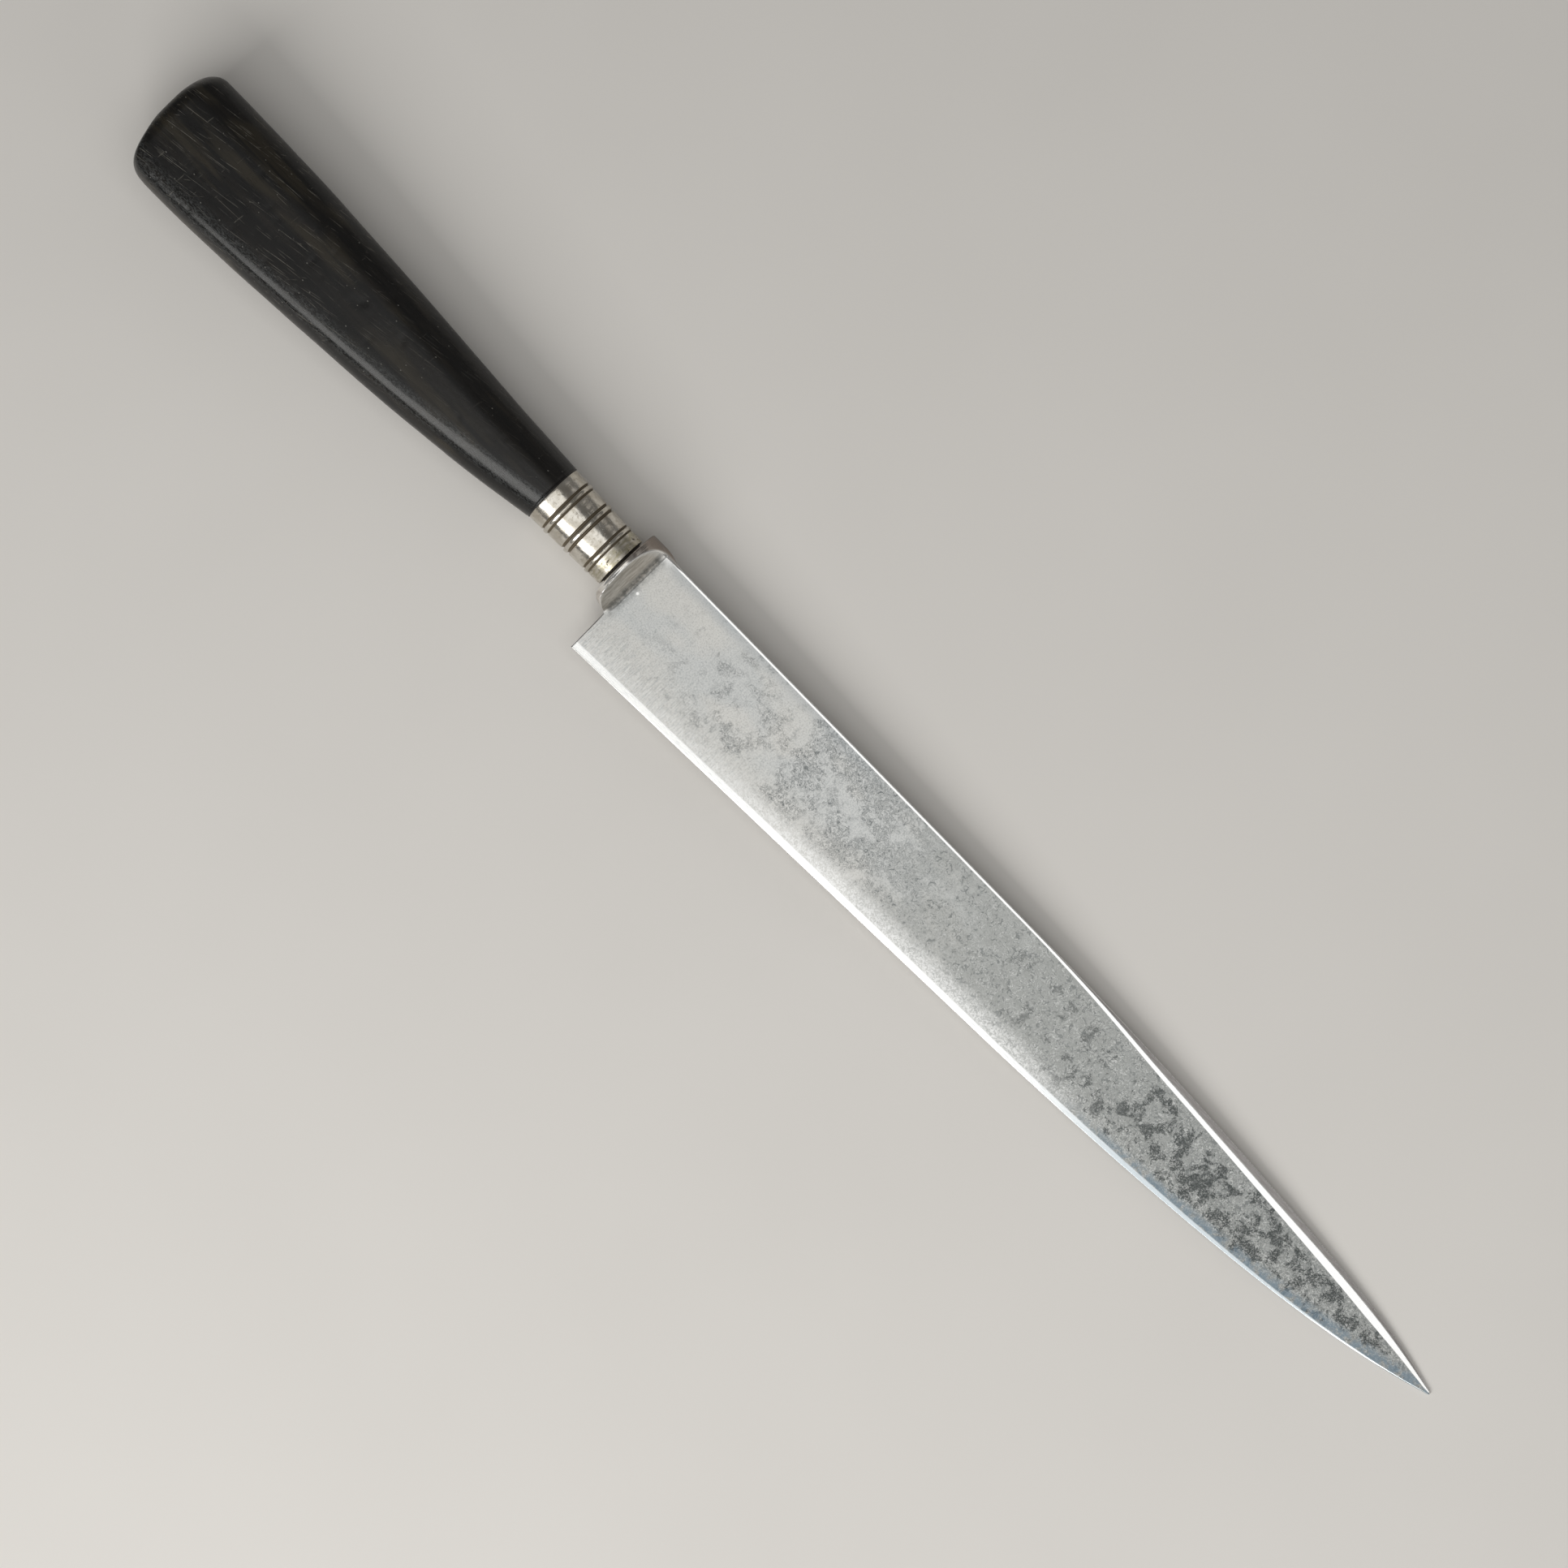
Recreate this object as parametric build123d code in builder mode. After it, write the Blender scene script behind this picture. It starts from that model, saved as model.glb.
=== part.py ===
"""Slicing knife: one forging holds the blade, the bolster and a long tang, which runs through a
bored wooden handle and is peened over a washer at the butt. A beaded ferrule binds the handle's
tenon, and cement fills the bore.

The knife lies on its side, with +X towards the tip, +Y towards the back of the blade and +Z up.
The origin is under the middle of the knife, level with the lowest point of its handle.
Sizes are in millimetres. Along the knife, x counts from the bolster's rear face towards the tip.
"""
from build123d import *
from math import hypot, radians, tan
import os

os.makedirs("parts", exist_ok=True)

# Blade outline
BLADE_LENGTH = 229.0  # bolster's rear face to the tip
HEEL_X = 4.3  # bolster's rear face to the heel
SPINE_Y = 7.6  # straight part of the back, over the tang's axis
HEEL_Y = -18.7  # corner of the heel, under the tang's axis
TIP_Y = -0.8  # tip, under the tang's axis
TIP_HEIGHT = 0.5  # worn end of the point
EDGE_SLOPE = 0.0358  # rise of the straight part of the edge
BELLY_LENGTH = 112.6  # stretch in front of which back and edge curve to the tip
SPINE_CURVE = ((0.635, 1.6), (0.365, 8))  # (share, power) terms of the back's drop
BELLY_CURVE = ((0.659, 2), (0.341, 6))  # (share, power) terms of the edge's rise
BELLY_SHARES = (0.0, 0.2, 0.4, 0.6, 0.75, 0.87, 0.95, 1.0)  # places along them that the curves pass

# Blade section
SPINE_THICKNESS = 2.4  # at the back, over the heel
SHOULDER_THICKNESS = 1.0  # at the top of the edge bevel, at the heel
TIP_THICKNESS = 0.6  # at the tip, before its bevels
SPINE_THICKNESS_TIP = 0.4  # least thickness that the bevel along the back leaves
EDGE_THICKNESS = 0.2  # worn cutting edge
BEVEL_WIDTH_HEEL = 1.95
BEVEL_WIDTH_TIP = 0.9
SWEDGE_WIDTH = 1.6  # bevel along the back, near the tip
SWEDGE_ANGLE = 12  # between that bevel and the blade's flat
SWEDGE_START = 109.0  # from the tip
SWEDGE_RUN_IN = 29.0  # stretch over which it reaches its width

# Bolster
BOLSTER_HEIGHT = 17.2
BOLSTER_THICKNESS = 13.6
RIDGE_X = 1.0  # ridge between the oval band and the ramp
RAMP_FOOT_X = 5.2  # where the ramp meets the blade's flat
RAMP_SAG = 0.4  # hollow of the ramp
BOLSTER_EDGE = 0.5  # rounding of the rear edge
FADE_X = 9.0  # where the bolster's back has sunk to the spine
HEEL_CORNER_R = 0.7  # hollow corner between bolster and heel

# Tang
TANG_HEIGHT = 6.0  # at the bolster
TANG_THICKNESS = 5.0  # at the bolster
TANG_END_SIDE = 3.2  # square side where it turns round
TANG_END_D = 3.0  # round end that passes through the washer
TANG_END_LENGTH = 6.0
PEEN_D = 4.6
PEEN_HEIGHT = 0.7

# Ferrule
FERRULE_GAP = 0.6  # dark ring between ferrule and bolster
FERRULE_LENGTH = 19.1
FERRULE_D_REAR = 13.3
FERRULE_D_FRONT = 12.0
FERRULE_WALL = 0.7
BEAD_PLACES = (4.15, 9.65, 15.2)  # from the handle's end
BEAD_WIDTH = 1.07
BEAD_RISE = 0.12
GROOVE_R = 0.17

# Handle
HANDLE_LENGTH = 107.4
HANDLE_TOP = 11.0  # back side of the butt, over the tang's axis
HANDLE_BOTTOM = 15.0  # edge side of the butt, under the tang's axis
HANDLE_THICKNESS = 17.0  # between the flats, at the butt
NECK_THICKNESS = 13.4  # between the planes of the flats, at the neck
CROWN = 0.3  # what the flats take off each side
TRIM = 0.1  # what trimming to the outline takes off its back and its edge side
NECK_STEP = 0.05  # wood shrunk below the ferrule
NECK_CORNER_R = 6.4
BUTT_CORNER_R = 4.0
BUTT_ROUND = 2.4  # rounding of the butt towards the flats
BUTT_BACK_R = 4.5  # rounding of its back corner
BUTT_WORN_R = 4.0  # rounding of both ends of its worn corner
BUTT_DOME = 0.8
BUTT_CORNER_LENGTH = 6.8  # worn corner on the edge side of the butt, along the handle
BUTT_CORNER_DEPTH = 2.7  # and across it
# (share of the length from the ferrule, share of the swell on the back side, and on the edge side)
HANDLE_SWELL = (
    (0.00, 0.00, 0.00),
    (0.15, 0.18, 0.31),
    (0.32, 0.44, 0.55),
    (0.53, 0.73, 0.74),
    (0.74, 0.94, 0.88),
    (0.91, 1.00, 0.99),
    (1.00, 1.00, 1.00),
)

# Fits inside the handle
BORE_CLEARANCE = 0.35  # cement left beside the corners of the square tang, at each end of the bore
TENON_CLEARANCE = 0.05
TENON_SHORT = 1.5  # cement in front of the tenon
CEMENT_RECESS = 0.3  # cement's rim, inside the ferrule's mouth
WASHER_D = 7.0
WASHER_THICKNESS = 1.2
WASHER_CLEARANCE = 0.05
WASHER_CHAMFER = 0.4
WASHER_DEPTH = 2.1  # floor of its seat, from the butt

CUT_MARGIN = 1.5  # how far a cut runs past what it cuts

# The knife's box places the row's origin
NECK_X = -(FERRULE_GAP + FERRULE_LENGTH)
BUTT_X = NECK_X - HANDLE_LENGTH
ORIGIN_X = (BLADE_LENGTH + BUTT_X) / 2
ORIGIN_Y = (HANDLE_TOP + HEEL_Y) / 2
AXIS_HEIGHT = HANDLE_THICKNESS / 2
TANG_AXIS = (-ORIGIN_X, -ORIGIN_Y, AXIS_HEIGHT)  # the bolster's rear face on the tang's axis

side = Plane(origin=TANG_AXIS)
plan = Plane(origin=TANG_AXIS, x_dir=(1, 0, 0), z_dir=(0, -1, 0))
tang_line = Axis(TANG_AXIS, (1, 0, 0))


def across(x):
    """Plane across the knife at x, with the back of the blade to its right and +Z up."""
    return Plane(origin=(TANG_AXIS[0] + x, TANG_AXIS[1], TANG_AXIS[2]), x_dir=(0, 1, 0), z_dir=(1, 0, 0))


def curve(terms, share):
    """Sum of the powers of a share of the way to the tip."""
    return sum(weight * share**power for weight, power in terms)


BELLY_X = BLADE_LENGTH - BELLY_LENGTH
EDGE_RISE = TIP_Y - HEEL_Y - EDGE_SLOPE * (BLADE_LENGTH - HEEL_X)
WEDGE = (SPINE_THICKNESS - SHOULDER_THICKNESS) / 2 / (SPINE_Y - HEEL_Y - BEVEL_WIDTH_HEEL)
DISTAL = ((SPINE_THICKNESS - TIP_THICKNESS) / 2 - WEDGE * (SPINE_Y - TIP_Y)) / (BLADE_LENGTH - HEEL_X)


def spine_y(x):
    """Height of the blade's back at x."""
    share = max(0.0, (x - BELLY_X) / BELLY_LENGTH)
    return SPINE_Y - (SPINE_Y - TIP_Y) * curve(SPINE_CURVE, share)


def edge_y(x):
    """Height of the cutting edge at x."""
    share = max(0.0, (x - BELLY_X) / BELLY_LENGTH)
    return HEEL_Y + EDGE_SLOPE * (x - HEEL_X) + EDGE_RISE * curve(BELLY_CURVE, share)


def half_thickness(x, y):
    """Height of the blade's flat over its middle plane."""
    return SPINE_THICKNESS / 2 - WEDGE * (SPINE_Y - y) - DISTAL * (x - HEEL_X)


# ---------------------------------------------------------------- blade, bolster and tang
belly_places = [BELLY_X + share * BELLY_LENGTH for share in BELLY_SHARES]
spine_points = [(x, spine_y(x)) for x in belly_places[:-1]] + [(BLADE_LENGTH, TIP_Y + TIP_HEIGHT / 2)]
edge_points = [(x, edge_y(x)) for x in belly_places[:-1]] + [(BLADE_LENGTH, TIP_Y - TIP_HEIGHT / 2)]

with BuildPart() as edge_grind:
    for x in [HEEL_X - CUT_MARGIN] + belly_places + [BLADE_LENGTH + CUT_MARGIN]:
        tip_share = (x - HEEL_X) / (BLADE_LENGTH - HEEL_X)
        width = BEVEL_WIDTH_HEEL + (BEVEL_WIDTH_TIP - BEVEL_WIDTH_HEEL) * tip_share
        low = edge_y(x)
        shoulder = half_thickness(x, low + width)
        slope = (shoulder - EDGE_THICKNESS / 2) / width
        with BuildSketch(across(x)):
            with BuildLine():
                Polyline(
                    (low - CUT_MARGIN, EDGE_THICKNESS / 2 - slope * CUT_MARGIN),
                    (low + width + CUT_MARGIN, shoulder + slope * CUT_MARGIN),
                    (low + width + CUT_MARGIN, SPINE_THICKNESS),
                    (low - CUT_MARGIN, SPINE_THICKNESS),
                    close=True,
                )
            make_face()
    loft(ruled=True)
    mirror(about=side)

swedge_x = BLADE_LENGTH - SWEDGE_START
swedge_full_x = swedge_x + SWEDGE_RUN_IN
with BuildPart() as swedge_grind:
    slope = tan(radians(SWEDGE_ANGLE)) + WEDGE
    for x in [swedge_x] + [x for x in belly_places if x > swedge_full_x] + [BLADE_LENGTH + CUT_MARGIN]:
        high = spine_y(x)
        deepest = (half_thickness(x, high) - SPINE_THICKNESS_TIP / 2) / (slope - WEDGE)
        width = min(SWEDGE_WIDTH * min(1.0, (x - swedge_x) / SWEDGE_RUN_IN), deepest)
        shoulder = half_thickness(x, high - width)
        with BuildSketch(across(x)):
            with BuildLine():
                Polyline(
                    (high + CUT_MARGIN, shoulder - slope * (width + CUT_MARGIN)),
                    (high - width - CUT_MARGIN, shoulder + slope * CUT_MARGIN),
                    (high - width - CUT_MARGIN, SPINE_THICKNESS),
                    (high + CUT_MARGIN, SPINE_THICKNESS),
                    close=True,
                )
            make_face()
    loft(ruled=True)
    mirror(about=side)

with BuildPart() as bolster_form:
    with BuildSketch(across(0)):
        Ellipse(BOLSTER_HEIGHT / 2, BOLSTER_THICKNESS / 2)
    extrude(amount=RAMP_FOOT_X)
    fillet(bolster_form.edges().group_by(Axis.X)[0], BOLSTER_EDGE)
    with BuildSketch(plan):
        ridge = (RIDGE_X, BOLSTER_THICKNESS / 2)
        foot = (RAMP_FOOT_X, half_thickness(RAMP_FOOT_X, HEEL_Y))
        with BuildLine():
            SagittaArc(ridge, foot, -RAMP_SAG)
            Line(foot, (RAMP_FOOT_X + CUT_MARGIN, foot[1]))
            Line((RAMP_FOOT_X + CUT_MARGIN, foot[1]), (RAMP_FOOT_X + CUT_MARGIN, BOLSTER_THICKNESS))
            Line((RAMP_FOOT_X + CUT_MARGIN, BOLSTER_THICKNESS), (RIDGE_X, BOLSTER_THICKNESS))
            Line((RIDGE_X, BOLSTER_THICKNESS), ridge)
        make_face()
        mirror(about=Plane.XZ)
    extrude(amount=BOLSTER_HEIGHT, both=True, mode=Mode.SUBTRACT)

washer_floor_x = BUTT_X + WASHER_DEPTH
tang_turn_x = washer_floor_x + TANG_END_LENGTH
with BuildPart() as blade:
    with BuildSketch(side):
        with BuildLine():
            corner_y = -BOLSTER_HEIGHT / 2 - HEEL_CORNER_R
            Line((HEEL_X, HEEL_Y), (HEEL_X, corner_y))
            JernArc((HEEL_X, corner_y), (0, 1), HEEL_CORNER_R, 90)
            Polyline(
                (HEEL_X - HEEL_CORNER_R, -BOLSTER_HEIGHT / 2),
                (HEEL_X - HEEL_CORNER_R, 0),
                (HEEL_X, 0),
                (HEEL_X, BOLSTER_HEIGHT / 2),
            )
            Spline((HEEL_X, BOLSTER_HEIGHT / 2), (FADE_X, SPINE_Y), tangents=((1, 0), (1, 0)))
            Line((FADE_X, SPINE_Y), (BELLY_X, SPINE_Y))
            Spline(*spine_points)
            Line(spine_points[-1], edge_points[-1])
            Spline(*edge_points)
            Line((BELLY_X, edge_y(BELLY_X)), (HEEL_X, HEEL_Y))
        make_face()
    extrude(amount=SPINE_THICKNESS, both=True)
    for face in (1, -1):
        on_flat = side.from_local_coords((HEEL_X, SPINE_Y, face * SPINE_THICKNESS / 2))
        split(bisect_by=Plane(on_flat, z_dir=(DISTAL, -WEDGE, face)), keep=Keep.BOTTOM)
    add(edge_grind.part, mode=Mode.SUBTRACT)
    add(swedge_grind.part, mode=Mode.SUBTRACT)
    add(bolster_form.part)
    with BuildSketch(across(0)):
        Rectangle(TANG_HEIGHT, TANG_THICKNESS)
    with BuildSketch(across(tang_turn_x)):
        Rectangle(TANG_END_SIDE, TANG_END_SIDE)
    loft()
    with BuildSketch(side):
        peen_x = washer_floor_x - WASHER_THICKNESS
        with BuildLine():
            Polyline(
                (peen_x - PEEN_HEIGHT, 0),
                (tang_turn_x + CUT_MARGIN, 0),
                (tang_turn_x + CUT_MARGIN, TANG_END_D / 2),
                (peen_x, TANG_END_D / 2),
                (peen_x, PEEN_D / 2),
            )
            SagittaArc((peen_x, PEEN_D / 2), (peen_x - PEEN_HEIGHT, PEEN_D / 6), PEEN_HEIGHT / 4)
            Line((peen_x - PEEN_HEIGHT, PEEN_D / 6), (peen_x - PEEN_HEIGHT, 0))
        make_face()
    revolve(axis=tang_line)
blade.part.label = "blade"

# ---------------------------------------------------------------- ferrule
ferrule_front_x = -FERRULE_GAP
FERRULE_TAPER = (FERRULE_D_REAR - FERRULE_D_FRONT) / 2 / FERRULE_LENGTH


def ferrule_radius(x):
    """Outer radius of the plain ferrule at x."""
    return FERRULE_D_REAR / 2 - FERRULE_TAPER * (x - NECK_X)


def ferrule_bore(x):
    """Inner radius of the ferrule at x."""
    return ferrule_radius(x) - FERRULE_WALL


tenon_end_x = ferrule_front_x - TENON_SHORT

with BuildPart() as ferrule:
    with BuildSketch(side):
        with BuildLine():
            Polyline(
                (NECK_X, ferrule_radius(NECK_X)),
                (ferrule_front_x, ferrule_radius(ferrule_front_x)),
                (ferrule_front_x, ferrule_bore(ferrule_front_x)),
                (NECK_X, ferrule_bore(NECK_X)),
                close=True,
            )
        make_face()
        for place in BEAD_PLACES:
            x = NECK_X + place
            with Locations((x, ferrule_radius(x))):
                Ellipse(BEAD_WIDTH / 2, BEAD_RISE)
        for place in BEAD_PLACES:
            for beside in (-1, 1):
                x = NECK_X + place + beside * (BEAD_WIDTH / 2 + GROOVE_R)
                with Locations((x, ferrule_radius(x))):
                    Circle(GROOVE_R, mode=Mode.SUBTRACT)
    revolve(axis=tang_line)
ferrule.part.label = "ferrule"

# ---------------------------------------------------------------- handle
FLAT_SLOPE = (HANDLE_THICKNESS - NECK_THICKNESS) / 2 / (HANDLE_LENGTH - BUTT_ROUND)


def flat_height(x):
    """Height of the handle's flat over its middle plane at x."""
    return NECK_THICKNESS / 2 + FLAT_SLOPE * (NECK_X - x)


def bore_radius(x):
    """Inner radius of the handle at x, past the corners of the tang."""
    share = min(1.0, x / tang_turn_x)
    height = TANG_HEIGHT + (TANG_END_SIDE - TANG_HEIGHT) * share
    thickness = TANG_THICKNESS + (TANG_END_SIDE - TANG_THICKNESS) * share
    return hypot(height, thickness) / 2 + BORE_CLEARANCE


neck_r = FERRULE_D_REAR / 2 - NECK_STEP
with BuildPart() as handle:
    for length, back, belly in HANDLE_SWELL:
        top = neck_r + (HANDLE_TOP + TRIM - neck_r) * back
        bottom = neck_r + (HANDLE_BOTTOM + TRIM - neck_r) * belly
        half = neck_r if length == 0 else flat_height(NECK_X - HANDLE_LENGTH * length) + CROWN
        corner = NECK_CORNER_R + (BUTT_CORNER_R - NECK_CORNER_R) * length
        with BuildSketch(across(NECK_X - HANDLE_LENGTH * length)):
            with Locations(((top - bottom) / 2, 0)):
                RectangleRounded(top + bottom, 2 * half, corner)
    loft()
    front_x = NECK_X + CUT_MARGIN
    back_end = (BUTT_X + BUTT_DOME, HANDLE_TOP)
    worn_end = (BUTT_X + BUTT_DOME, -HANDLE_BOTTOM + BUTT_CORNER_DEPTH)
    worn_start = (BUTT_X + BUTT_CORNER_LENGTH, -HANDLE_BOTTOM)
    with BuildSketch(side) as side_outline:
        with BuildLine():
            Line((front_x, HANDLE_TOP), back_end)
            ThreePointArc(back_end, (BUTT_X, (back_end[1] + worn_end[1]) / 2), worn_end)
            Polyline(worn_end, worn_start, (front_x, -HANDLE_BOTTOM), (front_x, HANDLE_TOP))
        make_face()
        fillet(side_outline.vertices().sort_by_distance(back_end)[0], BUTT_BACK_R)
        fillet(side_outline.vertices().sort_by_distance(worn_end)[0], BUTT_WORN_R)
        fillet(side_outline.vertices().sort_by_distance(worn_start)[0], BUTT_WORN_R)
    extrude(amount=HANDLE_THICKNESS, both=True, mode=Mode.INTERSECT)
    with BuildSketch(plan) as plan_outline:
        with BuildLine():
            Polyline(
                (BUTT_X, flat_height(BUTT_X)),
                (BUTT_X, -flat_height(BUTT_X)),
                (NECK_X, -NECK_THICKNESS / 2),
                (front_x, -NECK_THICKNESS / 2),
                (front_x, NECK_THICKNESS / 2),
                (NECK_X, NECK_THICKNESS / 2),
                close=True,
            )
        make_face()
        fillet(plan_outline.vertices().group_by(Axis.X)[0], BUTT_ROUND)
    extrude(amount=HANDLE_TOP + HANDLE_BOTTOM, both=True, mode=Mode.INTERSECT)
    with BuildSketch(side):
        with BuildLine():
            Polyline(
                (NECK_X - CUT_MARGIN, 0),
                (NECK_X - CUT_MARGIN, ferrule_bore(NECK_X) - TENON_CLEARANCE),
                (NECK_X, ferrule_bore(NECK_X) - TENON_CLEARANCE),
                (tenon_end_x, ferrule_bore(tenon_end_x) - TENON_CLEARANCE),
                (tenon_end_x, 0),
                close=True,
            )
        make_face()
    revolve(axis=tang_line)
    with BuildSketch(side):
        with BuildLine():
            Polyline(
                (BUTT_X - CUT_MARGIN, 0),
                (BUTT_X - CUT_MARGIN, WASHER_D / 2 + WASHER_CLEARANCE),
                (washer_floor_x, WASHER_D / 2 + WASHER_CLEARANCE),
                (washer_floor_x, bore_radius(washer_floor_x)),
                (tenon_end_x, bore_radius(tenon_end_x)),
                (tenon_end_x, 0),
                close=True,
            )
        make_face()
    revolve(axis=tang_line, mode=Mode.SUBTRACT)
handle.part.label = "handle"

# ---------------------------------------------------------------- cement round the tang
with BuildPart() as tang_cement:
    with BuildSketch(side):
        with BuildLine():
            Polyline(
                (washer_floor_x, 0),
                (washer_floor_x, bore_radius(washer_floor_x)),
                (tenon_end_x, bore_radius(tenon_end_x)),
                (tenon_end_x, ferrule_bore(tenon_end_x)),
                (ferrule_front_x, ferrule_bore(ferrule_front_x)),
                (ferrule_front_x, ferrule_bore(ferrule_front_x) - CEMENT_RECESS),
                (0, ferrule_bore(ferrule_front_x) - CEMENT_RECESS),
                (0, 0),
                close=True,
            )
        make_face()
    revolve(axis=tang_line)
    add(blade.part, mode=Mode.SUBTRACT)
tang_cement.part.label = "tang_cement"

# ---------------------------------------------------------------- washer under the peened tang
with BuildPart() as butt_washer:
    with BuildSketch(across(washer_floor_x)):
        Circle(WASHER_D / 2)
        Circle(TANG_END_D / 2 + WASHER_CLEARANCE, mode=Mode.SUBTRACT)
    extrude(amount=-WASHER_THICKNESS)
    outer_rim = butt_washer.faces().sort_by(Axis.X)[0].edges().sort_by(SortBy.RADIUS)[-1]
    chamfer(outer_rim, WASHER_CHAMFER)
butt_washer.part.label = "butt_washer"

for piece in (blade, ferrule, handle, tang_cement, butt_washer):
    export_step(piece.part, f"parts/{piece.part.label}.step")
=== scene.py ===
from math import atan, cos, pi, radians, sin

import bmesh
import bpy
import numpy as np
from mathutils import Matrix, Vector, noise


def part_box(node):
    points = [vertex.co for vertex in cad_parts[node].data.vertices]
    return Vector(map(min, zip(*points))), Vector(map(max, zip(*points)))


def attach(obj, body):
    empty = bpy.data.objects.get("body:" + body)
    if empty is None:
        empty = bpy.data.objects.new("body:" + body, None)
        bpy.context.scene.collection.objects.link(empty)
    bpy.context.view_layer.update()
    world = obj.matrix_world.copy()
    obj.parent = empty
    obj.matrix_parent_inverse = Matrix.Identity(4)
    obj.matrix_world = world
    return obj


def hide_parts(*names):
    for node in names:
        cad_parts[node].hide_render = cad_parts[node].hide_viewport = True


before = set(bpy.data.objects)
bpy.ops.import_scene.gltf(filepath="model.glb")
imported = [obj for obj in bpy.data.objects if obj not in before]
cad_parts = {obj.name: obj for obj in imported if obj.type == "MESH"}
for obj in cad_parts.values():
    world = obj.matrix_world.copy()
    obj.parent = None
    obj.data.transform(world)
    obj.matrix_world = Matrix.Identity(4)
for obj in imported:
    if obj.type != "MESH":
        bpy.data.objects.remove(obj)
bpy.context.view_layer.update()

# The knife's own coordinates are in millimetres: x from the bolster's rear face towards the tip,
# y from the tang's axis towards the back of the blade, z from the knife's middle plane.
MM = 0.001
blade_low, blade_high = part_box("blade")
ferrule_low, ferrule_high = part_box("ferrule")
handle_low, handle_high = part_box("handle")
cement_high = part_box("tang_cement")[1]
washer_low, washer_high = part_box("butt_washer")
ORIGIN = Vector((
    cement_high.x,
    (ferrule_low.y + ferrule_high.y) / 2,
    (ferrule_low.z + ferrule_high.z) / 2,
))


def own(corner):
    """A point of the frame in the knife's own coordinates."""
    return (corner - ORIGIN) / MM


# Blade
TIP_X = own(blade_high).x
HEEL_Y = own(blade_low).y
HEEL_X = 4.25
HEEL_LEAN = 0.016  # how far the heel's line leans forward, per mm down
BACK_Y = 7.6
TIP_Y = -0.8
TIP_HEIGHT = 0.5
TIP_ROUND = 0.5  # stretch over which the point closes
EDGE_SLOPE = 0.0358
BELLY_LENGTH = 112.6  # stretch over which back and edge curve towards the point
BELLY_X = TIP_X - BELLY_LENGTH
# Each curve is a sum of terms (share, power)
BACK_CURVE = ((0.635, 1.6), (0.365, 8))
EDGE_CURVE = ((0.659, 2), (0.341, 6))
BACK_THICKNESS = 2.4
WEDGE = 0.0287  # loss of half the thickness per mm towards the edge
DISTAL = 0.0029  # and per mm towards the tip
EDGE_THICKNESS = 0.16
# Each of these widths is a curve of (distance from the tip, width)
BEVEL = ((0, 0.15), (20, 0.35), (50, 0.7), (80, 1.0), (140, 1.4), (225, 1.6))
BACK_BAND = ((0, 0.3), (7, 0.8), (22, 1.5), (54, 1.05), (80, 0.78), (103, 0.62), (121, 0.44), (225, 0.4))
BACK_BEVEL = ((0, 0.1), (7, 0.5), (22, 0.85), (54, 1.4), (80, 1.2), (103, 0.4), (121, 0.12), (225, 0.12))
BAND_SLOPE, BACK_SLOPE = 0.1, 0.14
SWEDGE_LENGTH = 121.0
SWEDGE_START = TIP_X - SWEDGE_LENGTH
FLAT_WAVE = 0.012  # unevenness of the hand-ground flats

# Bolster
BOLSTER_Z = (own(blade_high).z - own(blade_low).z) / 2
BOLSTER_TOP, BOLSTER_BOTTOM = 8.5, 9.1
RIDGE_X, RAMP_FOOT_X = 1.0, 5.2
RAMP_POWER = 1.5
RIDGE_ROUND = 0.34
RIDGE_HALF_WIDTH = 0.28
FADE_X = 9.5  # from here on the section is the blade's alone
REAR_EDGE = 0.4  # rounding of the rear face's rim
HOLLOW_R = 0.7  # hollow corner over the heel
# The ridge over the ramp runs up and forward into the blade's back: (x, y)
RIDGE_LINE = (
    (1.0, 0.2),
    (1.15, 2.3),
    (1.55, 4.1),
    (2.2, 5.75),
    (3.0, 6.7),
    (3.8, 7.12),
    (5.4, 7.35),
    (9.5, 7.48),
)
# Rounded rear corner on the edge side: (x, what it takes off the bolster's bottom)
REAR_CORNER = ((0, 2.3), (0.15, 1.75), (0.4, 1.25), (0.8, 0.85), (1.4, 0.52), (2.5, 0.22), (3.5, 0.0))

# Tang
TANG_SIDES = (6.0, 5.0)
TANG_END_SIDE = 3.2
TANG_END_D = 3.0
TANG_END_LENGTH = 6.0
PEEN_D, PEEN_HEIGHT = 4.6, 0.7

# Ferrule
NECK_X = own(ferrule_low).x
FERRULE_FRONT_X = own(ferrule_high).x
FERRULE_R_REAR = (ferrule_high.y - ferrule_low.y) / MM / 2 - 0.06
FERRULE_R_FRONT = 5.98
FERRULE_WALL = 0.7
FERRULE_RIM = 0.16  # rounding of its front end
# (middle, width) of each bead and groove, measured from the handle's end
BEADS = ((4.22, 0.86), (9.72, 0.9), (15.4, 0.8))
GROOVES = ((3.52, 0.56), (4.92, 0.5), (8.98, 0.62), (10.48, 0.62), (14.76, 0.52), (16.0, 0.4))
BEAD_RISE = 0.2
GROOVE_DEPTH = 0.3
DENT_DEPTH = 0.035

# Handle
BUTT_X = own(handle_low).x
HANDLE_LENGTH = NECK_X - BUTT_X
HANDLE_TOP = own(handle_high).y
HANDLE_BOTTOM = -own(handle_low).y
HALF_BUTT = own(handle_high).z
HALF_NECK = 6.7
NECK_R = 6.65
CROWN = 0.35  # rise of the handle's broad faces over their middle
# (share of the length from the ferrule, share of the swell on the back side, and on the edge side)
SWELL = (
    (0.00, 0.00, 0.00),
    (0.15, 0.18, 0.31),
    (0.32, 0.44, 0.55),
    (0.53, 0.73, 0.76),
    (0.74, 0.94, 0.93),
    (0.91, 1.00, 1.00),
    (1.00, 1.00, 1.00),
)
# Rounding of the butt: (length along the handle, depth across it)
BUTT_BACK, BUTT_FLATS = (4.6, 6.2), (3.4, 3.4)
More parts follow.
